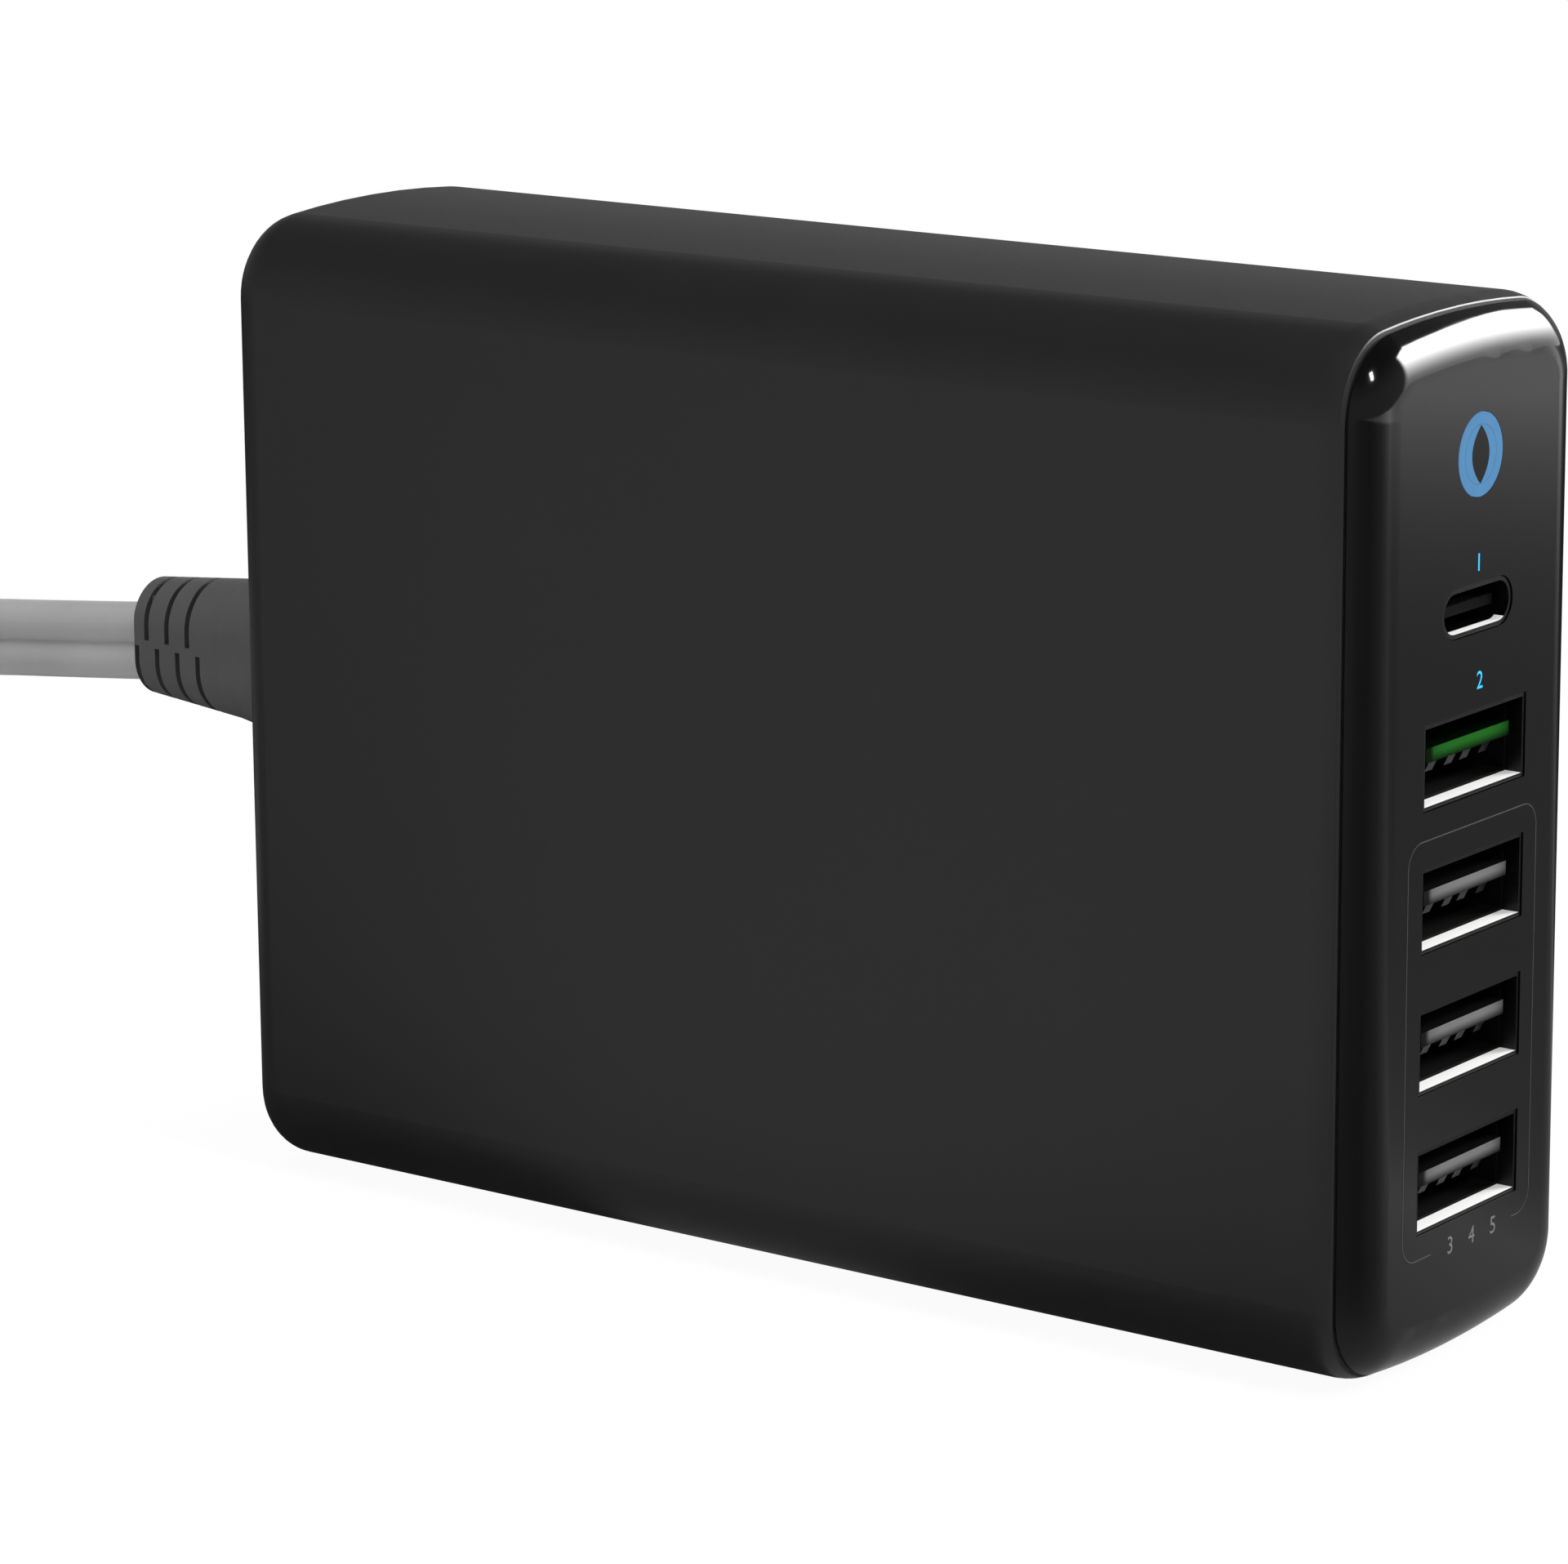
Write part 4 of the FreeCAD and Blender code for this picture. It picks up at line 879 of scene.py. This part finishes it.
def frame_line(sizes):
    """A round-cornered line about the lower ports, open where their numbers stand."""
    shape = bmesh.new()
    bmesh.ops.create_grid(shape, x_segments=1, y_segments=1, size=0.5)
    spread = (sizes.right - sizes.left, sizes.high - sizes.low, 1.0)
    bmesh.ops.scale(shape, vec=spread, verts=shape.verts)
    centre = ((sizes.left + sizes.right) / 2, (sizes.low + sizes.high) / 2, 0.0)
    bmesh.ops.translate(shape, vec=centre, verts=shape.verts)
    bmesh.ops.bevel(
        shape,
        geom=shape.verts[:],
        offset=sizes.corner,
        offset_type="OFFSET",
        segments=8,
        profile=0.5,
        affect="VERTICES",
        material=-1,
    )
    inner = shape.faces[:]
    bmesh.ops.inset_region(
        shape, faces=inner, thickness=sizes.line, use_even_offset=True, use_boundary=True
    )
    bmesh.ops.delete(shape, geom=inner, context="FACES")
    for edge in (sizes.gap_start, sizes.gap_end):
        everything = shape.verts[:] + shape.edges[:] + shape.faces[:]
        bmesh.ops.bisect_plane(shape, geom=everything, plane_co=(edge, 0, 0), plane_no=(1, 0, 0))
    gap = [
        face
        for face in shape.faces
        if sizes.gap_start < face.calc_center_median().x < sizes.gap_end
        and face.calc_center_median().y < centre[1]
    ]
    bmesh.ops.delete(shape, geom=gap, context="FACES")
    return shape


class CHARGER_OT_print(bpy.types.Operator):
    """Print the frame line and the port numbers on the gloss panel"""

    bl_idname = "charger.print"
    bl_label = "Printed marks"

    def execute(self, context):
        sizes = settings().print
        blue, grey_ink = tuple(sizes.blue), tuple(sizes.grey)
        add_print("port_frame_line", frame_line(sizes), sizes.ink, tuple(sizes.fine))
        add_print("number_1", figures("1", sizes.figure, FIRST_PLACE), sizes.ink, blue)
        add_print("number_2", figures("2", sizes.figure, SECOND_PLACE), sizes.ink, blue)
        lower = figures("3   4   5", sizes.figure, (LOWER_OFFSET, sizes.low))
        add_print("numbers_3_to_5", lower, sizes.ink, grey_ink)
        return {"FINISHED"}


# Finishes on the parts of the frame

def finish_parts(names, material=None):
    """Give each slot of some parts its own finish, or one finish to all of them."""
    for name in names:
        for holder in NODES[name].material_slots:
            holder.material = material or finished(holder.material.name)


class CHARGER_OT_casing(bpy.types.Operator):
    """Finish the housing, the gloss panel and the status ring"""

    bl_idname = "charger.casing"
    bl_label = "Casing"

    def execute(self, context):
        finish_parts(CASING)
        finish_parts(RING_MIDDLE, ring_middle("ring_middle_finish"))
        return {"FINISHED"}


class CHARGER_OT_ports(bpy.types.Operator):
    """Finish the shells, tongues and contacts of the ports"""

    bl_idname = "charger.ports"
    bl_label = "Ports"

    def execute(self, context):
        shade = port_shade("port_shade_finish")
        # Painted shade: the liners are dark sheets standing for shade, the small port's tongue is black
        # plastic darkened further, the contacts are painted dark, and the small shell's sill is painted
        # bright
        special = {
            "usb_c_shell": small_port_steel("small_port_steel_finish"),
            "usb_c_tongue": shade,
            "usb_c_contacts": shaded_gold("shaded_gold_finish"),
            "usb_a_contacts": spring_contact("spring_contact_finish"),
            "usb_a_liner": shade,
        }
        for name in PORTS:
            finish_parts([name], special.get(name.rstrip("_1234")))
        return {"FINISHED"}


class CHARGER_OT_inside(bpy.types.Operator):
    """Finish the boards and the parts on them"""

    bl_idname = "charger.inside"
    bl_label = "Inner parts"

    def execute(self, context):
        finish_parts(INSIDE)
        return {"FINISHED"}


class CHARGER_OT_cord_ends(bpy.types.Operator):
    """Finish the connector, the tie, the plug and the plain solids of the mains cord"""

    bl_idname = "charger.cord_ends"
    bl_label = "Cord ends"

    def execute(self, context):
        finish_parts((*CORD_ENDS, *CORD_SOLIDS))
        return {"FINISHED"}


# Studio

# Camera's sensor in millimetres
SENSOR_WIDTH = 36.0

# Lamps: places, the overhead one's target and sizes in metres
PANEL_MIDDLE = Vector((PANEL_FRONT, 0.0, 0.036))
KEY_PLACE = PANEL_MIDDLE + Vector((0.55, -0.12, 0.55))
KEY_SIZE = (0.05, 0.13)
TOP_PLACE = (-0.1, -0.15, 0.75)
TOP_TARGET = (-0.02, 0.0, 0.04)
TOP_SIZE = (0.5, 0.5)
STRIP_PLACE = PANEL_MIDDLE + Vector((0.30, 0.55, 0.22))
STRIP_SIZE = (0.30, 0.22)

# Diffuse light from all round
FILL = 0.5

FLOOR_RADIUS = 3.0
FLOOR_SIDES = 96

# What the camera sees of the floor: its share of plain white at the charger, and the distances from the
# origin between which that share rises to 1
SHADOW_WHITE = 0.95
SHADOW_REACH = (0.06, 0.2)

# The floor in reflections, all painted: a painted shadow close to the casing, painted light far behind it
# and in front of the panel
NEAR_PAINTED_SHADOW_SHARE = 0.35
NEAR_PAINTED_SHADOW_REACH = 0.03
FAR_SIDE = (0.6, 0.8)
FAR_REACH = (0.2, 0.42)
FAR_GAIN = 3.6
FAR_POWER = 3.0
AHEAD_START = SEAM - 2 * MM
AHEAD_PAINTED_LIGHT = 0.45

# Painted light and shade of the floor in reflections by direction, as parts of a turn from -X by -Y, +X and
# +Y
FLOOR_PAINTED_SECTORS = (
    (0.0, 0.1),
    (0.085, 0.12),
    (0.115, 0.5),
    (0.15, 0.53),
    (0.25, 0.51),
    (0.32, 0.42),
    (0.37, 0.25),
    (0.405, 0.16),
    (0.456, 0.125),
    (0.512, 0.24),
    (0.562, 0.46),
    (0.58, 0.3),
    (0.6, 0.23),
    (0.622, 0.21),
    (0.66, 0.21),
    (0.68, 0.34),
    (0.7, 0.08),
    (0.73, 0.03),
    (0.85, 0.03),
)

# The surroundings in reflections: grey at the horizon, darker between two heights
SKY_HEIGHTS = (0.3, 0.7)
SKY_GREYS = (0.27, 0.07)

# A bright strip in those surroundings, on a wall behind the charger that faces -X and -Y: its width in parts
# of the same turn, its upper edge, the height where it is brightest, and its brightness from the bottom up
STRIP_SPAN = ((0.622, 0.0), (0.636, 1.0), (0.735, 1.0), (0.745, 0.0))
STRIP_WALL = 0.71
STRIP_EDGE = (0.69, 0.73)
STRIP_FULL = 0.46
STRIP_LOW = 1.3
STRIP_GAIN = 19.0
STRIP_POWER = 1.7


def lamp(name, place, target, size, power):
    """A rectangular softbox that faces a target."""
    data = bpy.data.lights.new(name, "AREA")
    data.shape = "RECTANGLE"
    data.size, data.size_y = size
    data.energy = power
    item = linked(name, data)
    facing = (Vector(target) - Vector(place)).to_track_quat("-Z", "Y")
    item.matrix_world = Matrix.Translation(place) @ facing.to_matrix().to_4x4()
    return item


def add_camera():
    """Stand the camera where the photograph was taken from."""
    view = settings().studio
    turn, rise = view.azimuth, view.elevation
    back = Vector((math.sin(turn) * math.cos(rise), -math.cos(turn) * math.cos(rise), math.sin(rise)))
    level = Vector((math.cos(turn), math.sin(turn), 0.0))
    right = Matrix.Rotation(view.roll, 3, back) @ level
    up = back.cross(right)
    data = bpy.data.cameras.new("photo_camera")
    data.lens = view.lens
    data.sensor_fit = "HORIZONTAL"
    data.sensor_width = SENSOR_WIDTH
    data.clip_start = 0.01
    camera = linked("photo_camera", data)
    turned = Matrix((right, up, back)).transposed().to_4x4()
    camera.matrix_world = Matrix.Translation(Vector(view.target) + back * view.distance) @ turned
    bpy.context.scene.camera = camera


def gap_round(make, place):
    """Distance on the floor from the charger's footprint."""
    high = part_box("housing")[1]
    across = []
    for axis, half in (("X", high.x), ("Y", high.y)):
        offset = make.axis(place, axis)
        span = offset.math("ABSOLUTE", offset)
        across.append(span.math("MAXIMUM", span, half) - half)
    return (across[0] * across[0] + across[1] * across[1]) ** 0.5


def add_floor():
    """Pale floor: white with a faint shadow to the camera; in reflections it shows painted light and shade
    in sectors, with a painted shadow close to the casing.
    """
    shape = bmesh.new()
    bmesh.ops.create_circle(shape, cap_ends=True, radius=FLOOR_RADIUS, segments=FLOOR_SIDES)
    mesh = bpy.data.meshes.new("floor")
    shape.to_mesh(mesh)
    shape.free()
    floor = linked("floor", mesh)
    make = new_finish("floor_paper")
    place = make.place()
    straight = make.node("ShaderNodeLightPath", output="Is Camera Ray")
    gloss = make.node("ShaderNodeLightPath", output="Is Glossy Ray")
    cloud = make.noise(0.4, 2.0)
    paper = make.blend(cloud, grey(0.78), grey(0.82))
    matte = make.node("ShaderNodeBsdfDiffuse", inputs={"Color": paper})
    away = make.node("ShaderNodeVectorMath", {"operation": "LENGTH"}, {0: place}, output="Value")
    clear = make.graded(away, *SHADOW_REACH, SHADOW_WHITE)
    white = make.node("ShaderNodeEmission", inputs={"Color": (1, 1, 1, 1), "Strength": 1.0})
    # Painted light and shade by direction, and painted light far behind the charger, seen only in
    # reflections
    sectors = make.shades(FLOOR_PAINTED_SECTORS, make.turn(place))
    behind = FAR_SIDE[0] * make.axis(place, "X") + FAR_SIDE[1] * make.axis(place, "Y")
    far = make.graded(behind, *FAR_REACH)
    # Painted shadow close to the casing, and painted light in front of the panel
    near = make.graded(gap_round(make, place), 0.0, NEAR_PAINTED_SHADOW_REACH, NEAR_PAINTED_SHADOW_SHARE)
    painted_light_ahead = (make.axis(place, "X") > AHEAD_START) * (1.0 - near)
    bright = sectors * near * (1.0 + FAR_GAIN * far ** FAR_POWER) + AHEAD_PAINTED_LIGHT * painted_light_ahead
    mirrored = make.node("ShaderNodeEmission", inputs={"Color": bright, "Strength": 1.0})
    shown = make.node("ShaderNodeMixShader", inputs={0: straight * clear, 1: matte, 2: white})
    cover = make.node("ShaderNodeMixShader", inputs={0: gloss, 1: shown, 2: mirrored})
    make.node("ShaderNodeOutputMaterial", inputs={"Surface": cover})
    mesh.materials.append(make.owner)


def add_world():
    """Plain fill for diffuse light; grey, darker overhead and with a bright strip in reflections."""
    world = bpy.data.worlds.new("studio")
    bpy.context.scene.world = world
    make = Finish(world)
    gloss = make.node("ShaderNodeLightPath", output="Is Glossy Ray")
    way = make.node("ShaderNodeTexCoord", output="Generated")
    upward = make.axis(way, "Z")
    span = make.shades(STRIP_SPAN, make.turn(way))
    fade = make.graded(upward, *SKY_HEIGHTS, *SKY_GREYS)
    height = upward / (STRIP_WALL * make.axis(way, "X") + STRIP_WALL * make.axis(way, "Y"))
    climb = make.graded(height, 0.0, STRIP_FULL)
    roof = make.graded(height, *STRIP_EDGE, 1.0, 0.0)
    mirrored = fade + span * roof * (STRIP_LOW + STRIP_GAIN * climb ** STRIP_POWER)
    light = FILL + gloss * (mirrored - FILL)
    background = make.node("ShaderNodeBackground", inputs={"Color": light, "Strength": 1.0})
    make.node("ShaderNodeOutputWorld", inputs={"Surface": background})


class CHARGER_OT_stage(bpy.types.Operator):
    """Set up the camera, floor, background and lamps"""

    bl_idname = "charger.stage"
    bl_label = "Studio"

    def execute(self, context):
        studio = settings().studio
        context.scene.view_settings.view_transform = "Standard"
        add_camera()
        add_floor()
        add_world()
        lamp("key_lamp", KEY_PLACE, PANEL_MIDDLE, KEY_SIZE, studio.key)
        fill = lamp("top_lamp", TOP_PLACE, TOP_TARGET, TOP_SIZE, studio.top)
        strip = lamp("strip_lamp", STRIP_PLACE, PANEL_MIDDLE, STRIP_SIZE, studio.band)
        for item in (fill, strip):
            item.visible_glossy = False
        return {"FINISHED"}


class CHARGER_PT_panel(bpy.types.Panel):
    """Steps that make the charger"""

    bl_idname = "CHARGER_PT_panel"
    bl_label = "Charger"
    bl_space_type = "VIEW_3D"
    bl_region_type = "UI"
    bl_category = "Charger"

    def draw(self, context):
        for step in STEPS:
            self.layout.operator(step.bl_idname)


STEPS = (
    CHARGER_OT_stage,
    CHARGER_OT_casing,
    CHARGER_OT_ports,
    CHARGER_OT_inside,
    CHARGER_OT_cord,
    CHARGER_OT_cord_ends,
    CHARGER_OT_print,
)
GROUPS = (CordSettings, PrintSettings, FinishSettings, StudioSettings, ChargerSettings)
CLASSES = (*GROUPS, *STEPS, CHARGER_PT_panel)


def register():
    for item in CLASSES:
        bpy.utils.register_class(item)
    bpy.types.Scene.charger = PointerProperty(type=ChargerSettings)


def unregister():
    del bpy.types.Scene.charger
    for item in reversed(CLASSES):
        bpy.utils.unregister_class(item)


def main():
    register()
    bpy.ops.charger.stage()
    bpy.ops.charger.casing()
    bpy.ops.charger.ports()
    bpy.ops.charger.inside()
    bpy.ops.charger.cord()
    bpy.ops.charger.cord_ends()
    bpy.ops.charger.print()


if __name__ == "__main__":
    main()
